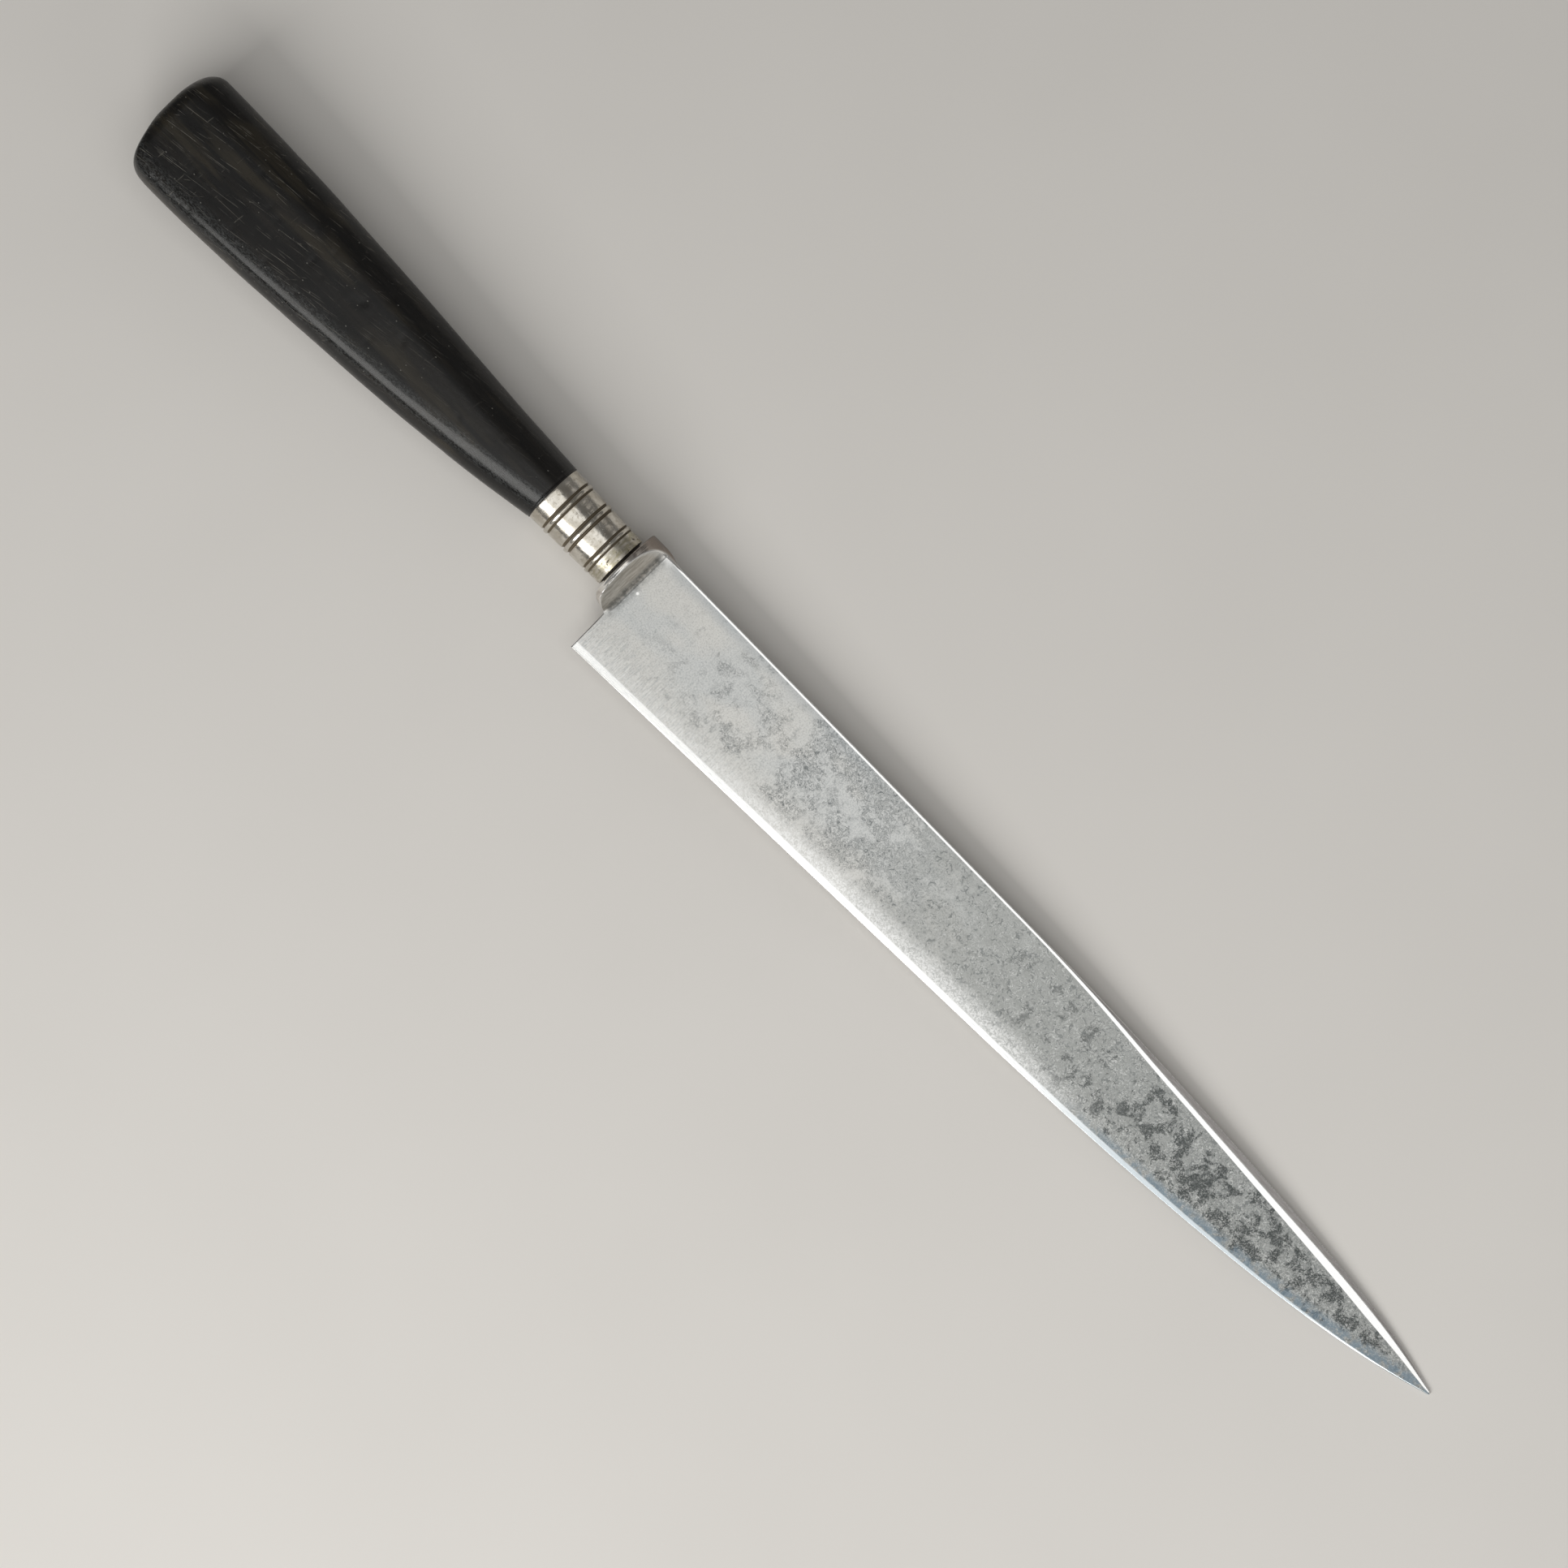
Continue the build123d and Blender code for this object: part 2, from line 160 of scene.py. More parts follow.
# Worn corner of the butt on the edge side: (distance from the end, what it takes off)
BUTT_WORN = ((0, 11.6), (0.35, 9.6), (0.8, 7.6), (1.9, 3.7), (2.8, 1.8), (4.0, 0.75), (5.5, 0.2), (7.5, 0.0))
# Arris between flank and broad face on the edge side: (share of the length, distance in from the flank)
ARRIS_IN = ((0.0, 3.0), (0.5, 2.6), (1.0, 1.5))
BACK_ARRIS_IN = 4.6
EDGE_FLANK, BACK_FLANK = 4.6, 4.9  # how far below the broad face each flank starts
ARRIS_REACHES = (2.6, 2.3, 4.0, 3.4)
HANDLE_WAVE = 0.05
HANDLE_DENT = 0.12
SEAT_R = 3.55
SEAT_RIM = 0.35
SEAT_FLOOR_X = own(washer_high).x
TENON_R = 5.85
TENON_END_X = FERRULE_FRONT_X - 1.5
BORE_R_FRONT, BORE_R_REAR = 4.2, 2.6


# ---- curves and meshes
MEETING = 0.0004  # points this near each other are one
SHARP_ANGLE = 42  # degrees


def ease(x, low, high):
    """0 up to low, 1 from high, smooth between."""
    t = np.clip((x - low) / (high - low), 0, 1)
    return t * t * (3 - 2 * t)


def through(points, x):
    """Curve through (x, y) points, with no bumps between them."""
    px, py = np.array(points, float).T
    slope = np.diff(py) / np.diff(px)
    both = slope[1:] * slope[:-1]
    total = slope[1:] + slope[:-1]
    inner = np.where(both > 0, 2 * both / np.where(both > 0, total, 1), 0)
    tangent = np.concatenate(([slope[0]], inner, [slope[-1]]))
    x = np.clip(x, px[0], px[-1])
    k = np.clip(np.searchsorted(px, x, side="right") - 1, 0, len(slope) - 1)
    step = px[k + 1] - px[k]
    t = (x - px[k]) / step
    return (
        (1 + 2 * t) * (1 - t) ** 2 * py[k]
        + t * (1 - t) ** 2 * step * tangent[k]
        + t * t * (3 - 2 * t) * py[k + 1]
        + t * t * (t - 1) * step * tangent[k + 1]
    )


def quarter(d, length, depth):
    """What an elliptical rounding takes off at a distance d from the end."""
    t = np.clip(1 - d / length, 0, 1)
    return depth * (1 - np.sqrt(1 - t * t))


def smaller(a, b, blend):
    """The smaller of two heights, rounded where they cross."""
    h = np.clip(1 - np.abs(a - b) / blend, 0, 1)
    return np.minimum(a, b) - h * h * blend / 4


def profile(corners, stretches):
    """Section through corners, each but the first and last rounded. `stretches` gives, for each inner
    corner, (rounding's reach, points on it, points on the straight after it)."""
    corners = np.array(corners, float)
    rows = [corners[:1]]
    ends = []
    for k, (reach, count, _) in enumerate(stretches, start=1):
        before = corners[k - 1] - corners[k]
        after = corners[k + 1] - corners[k]
        start = corners[k] + before * min(0.48, reach / max(np.hypot(*before), 1e-6))
        end = corners[k] + after * min(0.48, reach / max(np.hypot(*after), 1e-6))
        t = np.linspace(0, 1, count)[:, None] if count > 1 else np.array([[0.5]])
        ends.append((1 - t) ** 2 * start + 2 * t * (1 - t) * corners[k] + t * t * end)
    for k, curve in enumerate(ends):
        rows.append(curve)
        following = ends[k + 1][0] if k + 1 < len(ends) else corners[-1]
        t = np.linspace(0, 1, stretches[k][2] + 2)[1:-1, None]
        rows.append((1 - t) * curve[-1] + t * following)
    rows.append(corners[-1:])
    return np.concatenate(rows)


def both_sides(rows, x):
    """Loop round the knife at x from the rows (y, z) of its upper side."""
    up = np.column_stack((np.full(len(rows), x), rows))
    down = up[-2:0:-1] * (1, 1, -1)
    return np.concatenate((up, down))


def mirrored(values):
    """Values of the rows of the upper side, for the whole loop."""
    return np.concatenate((values, values[-2:0:-1]))


def wander(x, y, z, size, seed):
    """Smooth unevenness from about -1 to 1 whose bumps are `size` long."""
    return noise.noise(Vector((x / size + seed * 17.3, y / size, z / size - seed * 5.1))) * 2


def skin(name, loops, attributes):
    """Closed mesh over a row of loops with as many points each. Points that meet are joined.
    `attributes` gives values for the points, for the materials."""
    loops = np.array(loops, float)
    keys = np.round(loops.reshape(-1, 3) / MEETING).astype(np.int64)
    _, first, index = np.unique(keys, axis=0, return_index=True, return_inverse=True)
    index = index.reshape(loops.shape[:2])
    after = np.roll(index, -1, axis=1)
    quads = np.stack((index[:-1], after[:-1], after[1:], index[1:]), axis=-1).reshape(-1, 4)
    faces = []
    seen = set()
    for quad in quads.tolist():
        corners = [v for k, v in enumerate(quad) if v != quad[k - 1]]
        key = frozenset(corners)
        if 3 <= len(corners) == len(key) and key not in seen:
            seen.add(key)
            faces.append(corners)
    points = loops.reshape(-1, 3)[first] * MM + np.array(ORIGIN)
    mesh = bpy.data.meshes.new(name)
    mesh.from_pydata(points.tolist(), [], faces)
    for key, values in attributes.items():
        layer = mesh.attributes.new(key, "FLOAT", "POINT")
        layer.data.foreach_set("value", np.array(values, float).reshape(-1)[first].astype(np.float32))
    form = bmesh.new()
    form.from_mesh(mesh)
    bmesh.ops.recalc_face_normals(form, faces=form.faces)
    form.to_mesh(mesh)
    form.free()
    mesh.shade_smooth()
    mesh.set_sharp_from_angle(angle=radians(SHARP_ANGLE))
    piece = bpy.data.objects.new(name, mesh)
    bpy.context.scene.collection.objects.link(piece)
    return piece


# ---- blade, bolster and tang
def tip_share(x):
    """Share of the way along the curved front of the blade."""
    return max(0.0, (x - BELLY_X) / BELLY_LENGTH)


def bend(terms, x):
    """Sum of the terms (share, power) at x: 0 where the curved front starts, 1 at the point."""
    return sum(share * tip_share(x) ** power for share, power in terms)


def back_y(x):
    """Height of the blade's back."""
    plain = BACK_Y - (BACK_Y - TIP_Y - TIP_HEIGHT / 2) * bend(BACK_CURVE, x)
    return plain + (BOLSTER_TOP - BACK_Y) * (1 - ease(x, RAMP_FOOT_X - 1.5, FADE_X))


def edge_y(x):
    """Height of the cutting edge."""
    rise = TIP_Y - TIP_HEIGHT / 2 - HEEL_Y - EDGE_SLOPE * (TIP_X - HEEL_X)
    return HEEL_Y + EDGE_SLOPE * (x - HEEL_X) + rise * bend(EDGE_CURVE, x)


def flat_z(x, y):
    """Height of the blade's flat."""
    return BACK_THICKNESS / 2 - WEDGE * (BACK_Y - y) - DISTAL * (x - HEEL_X)


SPLIT_SHARE = 0.3  # how far up the flat the row lies that meets the hollow corner over the heel
# For each corner of the section: (points on its rounding, points on the straight after it)
BLADE_ROWS = ((4, 3), (5, 6), (1, 17), (6, 4), (6, 4), (6, 1))
STARTS = np.cumsum([1] + [a + b for a, b in BLADE_ROWS])
SPLIT_ROW, BAND_ROW, BACK_ROW, CREST_ROW = STARTS[2:6]
ROWS = STARTS[-1] + 1
ROW = np.arange(ROWS)


def blade_rows(x, split_y):
    """Section of the blade's upper side at x, from the edge to the middle of the back."""
    low, top = edge_y(x), back_y(x)
    height = top - low
    from_tip = TIP_X - x
    bevel = min(through(BEVEL, from_tip), 0.3 * height)
    band, back = through(BACK_BAND, from_tip), through(BACK_BEVEL, from_tip)
    small = min(1.0, 0.4 * height / (band + back))
    band, back = band * small, back * small
    if x < FADE_X:
        back = top - through(RIDGE_LINE, x)
    shoulder = flat_z(x, low + bevel)
    start = top - back - band
    arris = flat_z(x, top - back) - BAND_SLOPE * band
    fade = 1 - ease(x, RAMP_FOOT_X, FADE_X)
    crest = max(0.1, arris - BACK_SLOPE * back - 0.12 - 0.25 * fade)
    split = low + bevel + SPLIT_SHARE * (start - low - bevel) if split_y is None else split_y
    corners = (
        (low, 0),
        (low, EDGE_THICKNESS / 2),
        (low + bevel, shoulder),
        (split, flat_z(x, split)),
        (start, flat_z(x, start)),
        (top - back, arris),
        (top, crest),
        (top, 0),
    )
    reaches = (0.07, 0.16, 0, 0.12, 0.14, 0.14)
    return profile(corners, [(reach, *rows) for reach, rows in zip(reaches, BLADE_ROWS)])


def ramp_height(x, y):
    """Height of the bolster's ramp over the blade's flat."""
    s = np.clip((x - RIDGE_X) / (RAMP_FOOT_X - RIDGE_X), 0, 1)
    flat = flat_z(x, y)
    foot = 1 - ease(x, 2.5, HEEL_X) * (1 - ease(y, -BOLSTER_BOTTOM - HOLLOW_R, -6.5))
    return (BOLSTER_Z - flat) * (1 - s) ** RAMP_POWER * foot + 2 * max(0.0, RIDGE_X - x)


def bolster_rows(x):
    """Section of the bolster's upper side at x, on as many rows as the blade's. Also how near each row
    is to the ridge, the ramp's height there, and how far the bolster's side lies over the ramp."""
    rear = quarter(x, REAR_EDGE, REAR_EDGE)
    bottom = BOLSTER_BOTTOM - through(REAR_CORNER, x) + quarter(HEEL_X - x, HOLLOW_R, HOLLOW_R)
    top = back_y(x) - rear
    ridge = through(RIDGE_LINE, max(x, RIDGE_X))
    below, above = ridge - RIDGE_HALF_WIDTH, min(ridge + RIDGE_HALF_WIDTH, top - 0.02)
    foot = np.linspace(0, 0.02, SPLIT_ROW + 1)
    rise = 0.02 + 0.98 * (1 - np.cos(np.linspace(0, pi / 2, BAND_ROW - SPLIT_ROW + 1)[1:]))
    y = np.concatenate((
        -bottom + (below + bottom) * foot,
        -bottom + (below + bottom) * rise,
        np.linspace(below, above, CREST_ROW - BAND_ROW - 3)[1:],
        above + (top - above) * np.sin(np.linspace(0, pi / 2, ROWS - CREST_ROW + 4)[1:]),
    ))
    flat, ramp = flat_z(x, y), ramp_height(x, y)
    at_ridge = min(BOLSTER_Z - rear, flat_z(x, ridge) + ramp_height(x, ridge))
    up = at_ridge * (np.clip(1 - (y / top) ** 2, 0, 1) / (1 - (ridge / top) ** 2)) ** 0.8
    boxy = 2.2 + 5.8 * ease(x, 0.7, 1.9)
    down = (BOLSTER_Z - rear) * np.clip(1 - np.abs(y / bottom) ** boxy, 0, 1) ** 0.5
    side = np.where(y > 0, up, down)
    z = smaller(side, flat + ramp, RIDGE_ROUND)
    z[0] = z[-1] = 0
    z = np.maximum(z, 0)
    over = side - flat - ramp
    near = np.exp(-((over / 0.4) ** 2))
    return np.column_stack((y, z)), near, ramp, over


def tang_rows(height, thickness):
    """Upper half of a rectangle, on as many rows as the blade's."""
    way = np.linspace(0, height + thickness, ROWS)
    y = np.clip(way - thickness / 2, 0, height) - height / 2
    z = np.minimum(np.minimum(way, height + thickness - way), thickness / 2)
    return np.column_stack((y, z))


def round_rows(radius):
    """Upper half of a circle, on as many rows as the blade's."""
    angle = np.linspace(0, pi, ROWS)
    return np.column_stack((-radius * np.cos(angle), radius * np.sin(angle)))


def heel_shift(loop, x):
    """Leans the heel's line forward."""
    drop = np.clip(-BOLSTER_BOTTOM - loop[:, 1], 0, None)
    loop[:, 0] += HEEL_LEAN * drop * (1 - ease(x, HEEL_X, HEEL_X + 5))
    return loop


def wave_flats(loops):
    """Makes the hand-ground flats uneven."""
    for loop in loops:
        if loop[0, 0] < RAMP_FOOT_X:
            continue
        for point in loop:
            reach = ease(point[0], RAMP_FOOT_X, 16) * ease(abs(point[2]), 0.1, 0.5)
            side = 1 if point[2] > 0 else 2
            point[2] += FLAT_WAVE * reach * wander(point[0] / 2.2, point[1], 0, 7, side)


def make_blade():
    """The forging, from the hammered end of its tang to the point, with marks for the steel's wear and for
    where shade and highlights are painted.
    """
    loops, marks = [], {key: [] for key in ("bevel", "arris", "swedge", "ridge", "ramp", "band")}
    lows, highs = [], []
    bevel_row = 1 - ease(ROW, STARTS[1], STARTS[1] + 4)
    arris_row = ease(ROW, BAND_ROW, BAND_ROW + 3) * (1 - ease(ROW, BACK_ROW + 3, BACK_ROW + 6))
    swedge_row = ease(ROW, BACK_ROW + 2, BACK_ROW + 6)
    crest_row = ease(ROW, CREST_ROW - 1, CREST_ROW + 1) * (1 - ease(ROW, CREST_ROW + 4, CREST_ROW + 6))

    def keep(rows, x, **values):
        loop = heel_shift(both_sides(rows, x), x)
        loops.append(loop)
        for key, store in marks.items():
            store.append(mirrored(np.zeros(ROWS) + values.get(key, 0)))
        lows.append(loop[:, 1] - edge_y(max(x, HEEL_X)))
        highs.append(back_y(x) - loop[:, 1])

    washer_x = own(washer_low).x
    turn_x = SEAT_FLOOR_X + TANG_END_LENGTH
    keep(round_rows(0), washer_x - PEEN_HEIGHT)
    for angle in np.linspace(0.25, pi / 2, 6):
        keep(round_rows(PEEN_D / 2 * sin(angle)), washer_x - PEEN_HEIGHT * (0.25 + 0.75 * cos(angle)))
    keep(round_rows(PEEN_D / 2), washer_x)
    keep(round_rows(TANG_END_D / 2), washer_x)
    keep(round_rows(TANG_END_D / 2), turn_x)
    for x in np.linspace(turn_x, 0, 14):
        share = x / turn_x
        sides = [side + (TANG_END_SIDE - side) * share for side in TANG_SIDES]
        keep(tang_rows(*sides), x)

    rear = np.array([0, 0.012, 0.045, 0.1, 0.18, 0.28, 0.4])
    body = np.arange(0.48, HEEL_X - HOLLOW_R, 0.085)
    hollow = HEEL_X - HOLLOW_R + HOLLOW_R * np.sin(np.linspace(0, pi / 2, 12))
    for x in np.concatenate((rear, body, hollow)):
        rows, near, ramp, over = bolster_rows(x)
        keep(rows, x, ridge=near * ease(x, 0.5, 0.9), ramp=ease(ramp, 0.0, 0.5) * (over > 0), band=over <= 0)

    stations = [HEEL_X + d for d in (0, 0.02, 0.05, 0.1, 0.16, 0.24)]
    stations += list(np.arange(HEEL_X + 0.36, FADE_X, 0.14))
    stations += list(np.arange(FADE_X, SWEDGE_START - 6, 0.9))
    stations += list(np.arange(SWEDGE_START - 6, TIP_X - 3, 0.5))
    stations += list(TIP_X - 3 * (1 - np.sin(np.linspace(0, pi / 2, 26)))[:-1])
    for x in stations:
        weight = ease(x, RAMP_FOOT_X, FADE_X)
        rows = blade_rows(x, None)
        values = {
            "arris": np.maximum(arris_row, 0.7 * crest_row),
            "swedge": swedge_row * ease(x, SWEDGE_START, SWEDGE_START + 12),
        }
        if weight < 1:
            rounded, near, ramp, over = bolster_rows(x)
            rows = blade_rows(x, rounded[SPLIT_ROW][0] * (1 - weight) + rows[SPLIT_ROW][0] * weight)
            rows[SPLIT_ROW:] = rows[SPLIT_ROW:] * weight + rounded[SPLIT_ROW:] * (1 - weight)
            on = ROW >= SPLIT_ROW
            values["arris"] = values["arris"] * weight
            values["ridge"] = near * on * (1 - weight)
            values["ramp"] = ease(ramp, 0.0, 0.5) * on * (over > 0) * (x < RAMP_FOOT_X)
            values["band"] = (over <= 0) * on * (1 - weight)
        worn = quarter(x - HEEL_X, 0.2, 0.2)
        rows[1:SPLIT_ROW, 1] = np.maximum(rows[1:SPLIT_ROW, 1] - worn, 0.02)
        closing = np.sqrt(max(0.0, 1 - max(0.0, 1 - (TIP_X - x) / TIP_ROUND) ** 2))
        if closing < 1:
            middle = (edge_y(x) + back_y(x)) / 2
            rows[:, 0] = middle + (rows[:, 0] - middle) * closing
            rows[:, 1] *= closing
        keep(rows, x, bevel=bevel_row, **values)
    keep(np.column_stack((np.full(ROWS, (edge_y(TIP_X) + back_y(TIP_X)) / 2), np.zeros(ROWS))), TIP_X)

    loops = np.array(loops)
    wave_flats(loops)
    return skin("blade_shape", loops, {**marks, "above_edge": lows, "below_back": highs})


# ---- ferrule
def ferrule_radius(x):
    """Outer radius of the ferrule at x, and how far down a groove it is."""
    place = x - NECK_X
    share = place / (FERRULE_FRONT_X - NECK_X)
    radius = FERRULE_R_REAR + (FERRULE_R_FRONT - FERRULE_R_REAR) * share
    for middle, width in BEADS:
        t = (place - middle) / (width / 2)
        if abs(t) < 1:
            radius += BEAD_RISE * (1 - t * t) ** 0.5
    groove = 0
    for middle, width in GROOVES:
        t = abs(place - middle) / (width / 2)
        if t < 1:
            groove = 1 - t * t * (3 - 2 * t) ** 0.5
            groove = max(0.0, min(1.0, groove * 1.15))
            radius -= GROOVE_DEPTH * width / 0.5 * groove
    return radius, groove


def make_ferrule():
    """The collar with its beads and grooves, its wall and its worn surface."""
    around = 168
    angle = np.linspace(0, 2 * pi, around, endpoint=False)
    length = FERRULE_FRONT_X - NECK_X
    places = set(np.linspace(0.12, length - 0.14, 60).round(4))
    for middle, width in BEADS + GROOVES:
        places |= set((middle + width / 2 * np.linspace(-1.05, 1.05, 13)).round(4))
    places = sorted(p for p in places if 0.12 <= p <= length - 0.14)
    outline = [(NECK_X, FERRULE_R_REAR - 0.1, 0), (NECK_X + 0.03, FERRULE_R_REAR - 0.03, 0)]
    outline += [(NECK_X + p, *ferrule_radius(NECK_X + p)) for p in places]
    outline += [
        (FERRULE_FRONT_X - 0.04, FERRULE_R_FRONT - 0.06, 0),
        (FERRULE_FRONT_X, FERRULE_R_FRONT - FERRULE_RIM, 0),
        (FERRULE_FRONT_X, FERRULE_R_FRONT - FERRULE_WALL + 0.08, 0.6),
        (FERRULE_FRONT_X - 0.1, FERRULE_R_FRONT - FERRULE_WALL, 1),
        (NECK_X, FERRULE_R_REAR - FERRULE_WALL, 1),
        (NECK_X, FERRULE_R_REAR - 0.1, 0),
    ]
    loops, grooves = [], []
    for x, radius, groove in outline:
        loop = []
        for a in angle:
            outer = radius > FERRULE_R_FRONT - 0.4
            dent = DENT_DEPTH * min(0.0, wander(x, 6 * cos(a), 6 * sin(a), 2.6, 3) - 0.05) if outer else 0
            wave = 0.014 * wander(x, 6 * cos(a), 6 * sin(a), 4.5, 4) if outer else 0
            r = radius + dent + wave
            loop.append((x, r * cos(a), r * sin(a)))
        loops.append(loop)
        grooves.append([groove] * around)
    return skin("ferrule_shape", loops, {"groove": grooves})


# ---- handle
# For each corner of the section: (points on its rounding, points on the straight after it)
HANDLE_ROWS = ((10, 5), (9, 13), (12, 4), (8, 4))


def handle_rows(x):
    """Section of the handle's upper side at x, from its edge side to its back."""
    share = (NECK_X - x) / HANDLE_LENGTH
    back = through([(s, b) for s, b, _ in SWELL], share)
    belly = through([(s, e) for s, _, e in SWELL], share)
    top = NECK_R + (HANDLE_TOP - NECK_R) * back
    bottom = NECK_R + (HANDLE_BOTTOM - NECK_R) * belly
    half = HALF_NECK + (HALF_BUTT - HALF_NECK) * min(1.0, (NECK_X - x) / (HANDLE_LENGTH - 2.4))
    d = x - BUTT_X
    top_end = top - quarter(d, *BUTT_BACK)
    bottom_end = bottom - through(BUTT_WORN, d)
    half_end = half - quarter(d, *BUTT_FLATS)
    facets = profile(
        (
            (-bottom, 0),
            (-bottom, half - EDGE_FLANK),
            (-bottom + through(ARRIS_IN, share), half - CROWN),
            (top - BACK_ARRIS_IN, half - CROWN),
            (top, half - BACK_FLANK),
            (top, 0),
        ),
        [(reach, *rows) for reach, rows in zip(ARRIS_REACHES, HANDLE_ROWS)],
    )
    y, z = facets.T
    middle = (top - bottom) / 2
    across = (y - middle) / ((top + bottom) / 2 - 3)
    z = z + CROWN * np.clip(1 - across**2, 0, 1) * (z > half - CROWN - 0.8)
    side = np.where(y > 0, top, bottom)
    polar = np.arctan2(z / half, y / side)
    ellipse_y, ellipse_z = side * np.cos(polar), half * np.sin(polar)
    facet = ease(share, -0.1, 0.42)
    y = ellipse_y * (1 - facet) + y * facet
    z = ellipse_z * (1 - facet) + z * facet
    y = np.where(y > 0, y * top_end / top, y * bottom_end / bottom)
    z = z * half_end / half
    return np.column_stack((y, z))


def batter(loops):
    """Makes the handle's outside uneven and dents it, less so at its ends."""
    for point in loops.reshape(-1, 3):
        reach = ease(NECK_X - point[0], 0.5, 14) * ease(point[0] - BUTT_X, 0, 2.5)
        uneven = HANDLE_WAVE * wander(point[0] / 2.4, point[1], point[2], 5.5, 6)
        dent = HANDLE_DENT * min(0.0, wander(point[0], point[1], point[2], 2.2, 7) + 0.75)
        way = np.array((0, point[1], point[2])) / max(1e-6, np.hypot(point[1], point[2]))
        point += way * (uneven + dent - HANDLE_WAVE) * reach


def make_handle():
    """The handle with its tenon, its bore and the washer's seat, its worn butt and its edge-side arris,
    marked where the wood is rubbed and a highlight is painted.
    """
    count = 2 + sum(a + b for a, b in HANDLE_ROWS)
    sweep = np.linspace(pi, 0, count)
    butt_edge = 0.16
    loops = []
    # step and fine groove behind the ferrule: (distance back, how far out)
    lip = (
        (0.0, -0.16),
        (0.05, -0.05),
        (0.14, 0.0),
        (0.34, 0.0),
        (0.42, -0.07),
        (0.48, -0.1),
        (0.54, -0.07),
        (0.62, 0.0),
    )
    lip_length = lip[-1][0]
    butt_length = 8

    def ring(x, radius):
        return both_sides(np.column_stack((radius * np.cos(sweep), radius * np.sin(sweep))), x)

    loops.append(ring(TENON_END_X, BORE_R_FRONT))
    loops.append(ring(TENON_END_X, TENON_R - 0.6))
    loops.append(ring(NECK_X, TENON_R))
    for back, out in lip:
        rows = handle_rows(NECK_X - back)
        rows *= 1 + out / NECK_R
        loops.append(both_sides(rows, NECK_X - back))
    body = NECK_X - lip_length - np.linspace(0, 1, 190)[1:] * (HANDLE_LENGTH - lip_length - butt_length)
    butt = BUTT_X + butt_edge + (butt_length - butt_edge) * np.linspace(1, 0, 44)[1:] ** 2
    for x in np.concatenate((body, butt)):
        loops.append(both_sides(handle_rows(x), x))
    last = loops[-1]
    wall = ring(BUTT_X, SEAT_R + SEAT_RIM)
    for t in (0.25, 0.5, 0.75, 1):
        mix = last * (1 - t) + wall * t
        mix[:, 0] = BUTT_X + butt_edge * (1 - t) ** 1.6 + 0.02
        loops.append(mix)
    loops.append(ring(BUTT_X + 0.1, SEAT_R + 0.06))
    loops.append(ring(BUTT_X + 0.25, SEAT_R))
    loops.append(ring(SEAT_FLOOR_X, SEAT_R))
    loops.append(ring(SEAT_FLOOR_X, BORE_R_REAR))
    loops.append(ring(TENON_END_X, BORE_R_FRONT))
    loops = np.array(loops)
    outer = slice(3, 3 + len(lip) + len(body) + len(butt))
    batter(loops[outer])
    # Rows along the edge-side arris, which the wood's material makes lighter: partly rubbed wear, partly a
    # painted highlight.
    arris_row = 1 + sum(HANDLE_ROWS[0])
    arris_end = arris_row + HANDLE_ROWS[1][0]
    row = np.arange(count)
    on_arris = ease(row, arris_row - 1, arris_row + 2) * (1 - ease(row, arris_end - 2, arris_end + 1))
    arris_rub_and_highlight = np.zeros(loops.shape[:2])
    arris_rub_and_highlight[outer] = mirrored(on_arris)
    return skin("handle_shape", loops, {"rub": arris_rub_and_highlight})


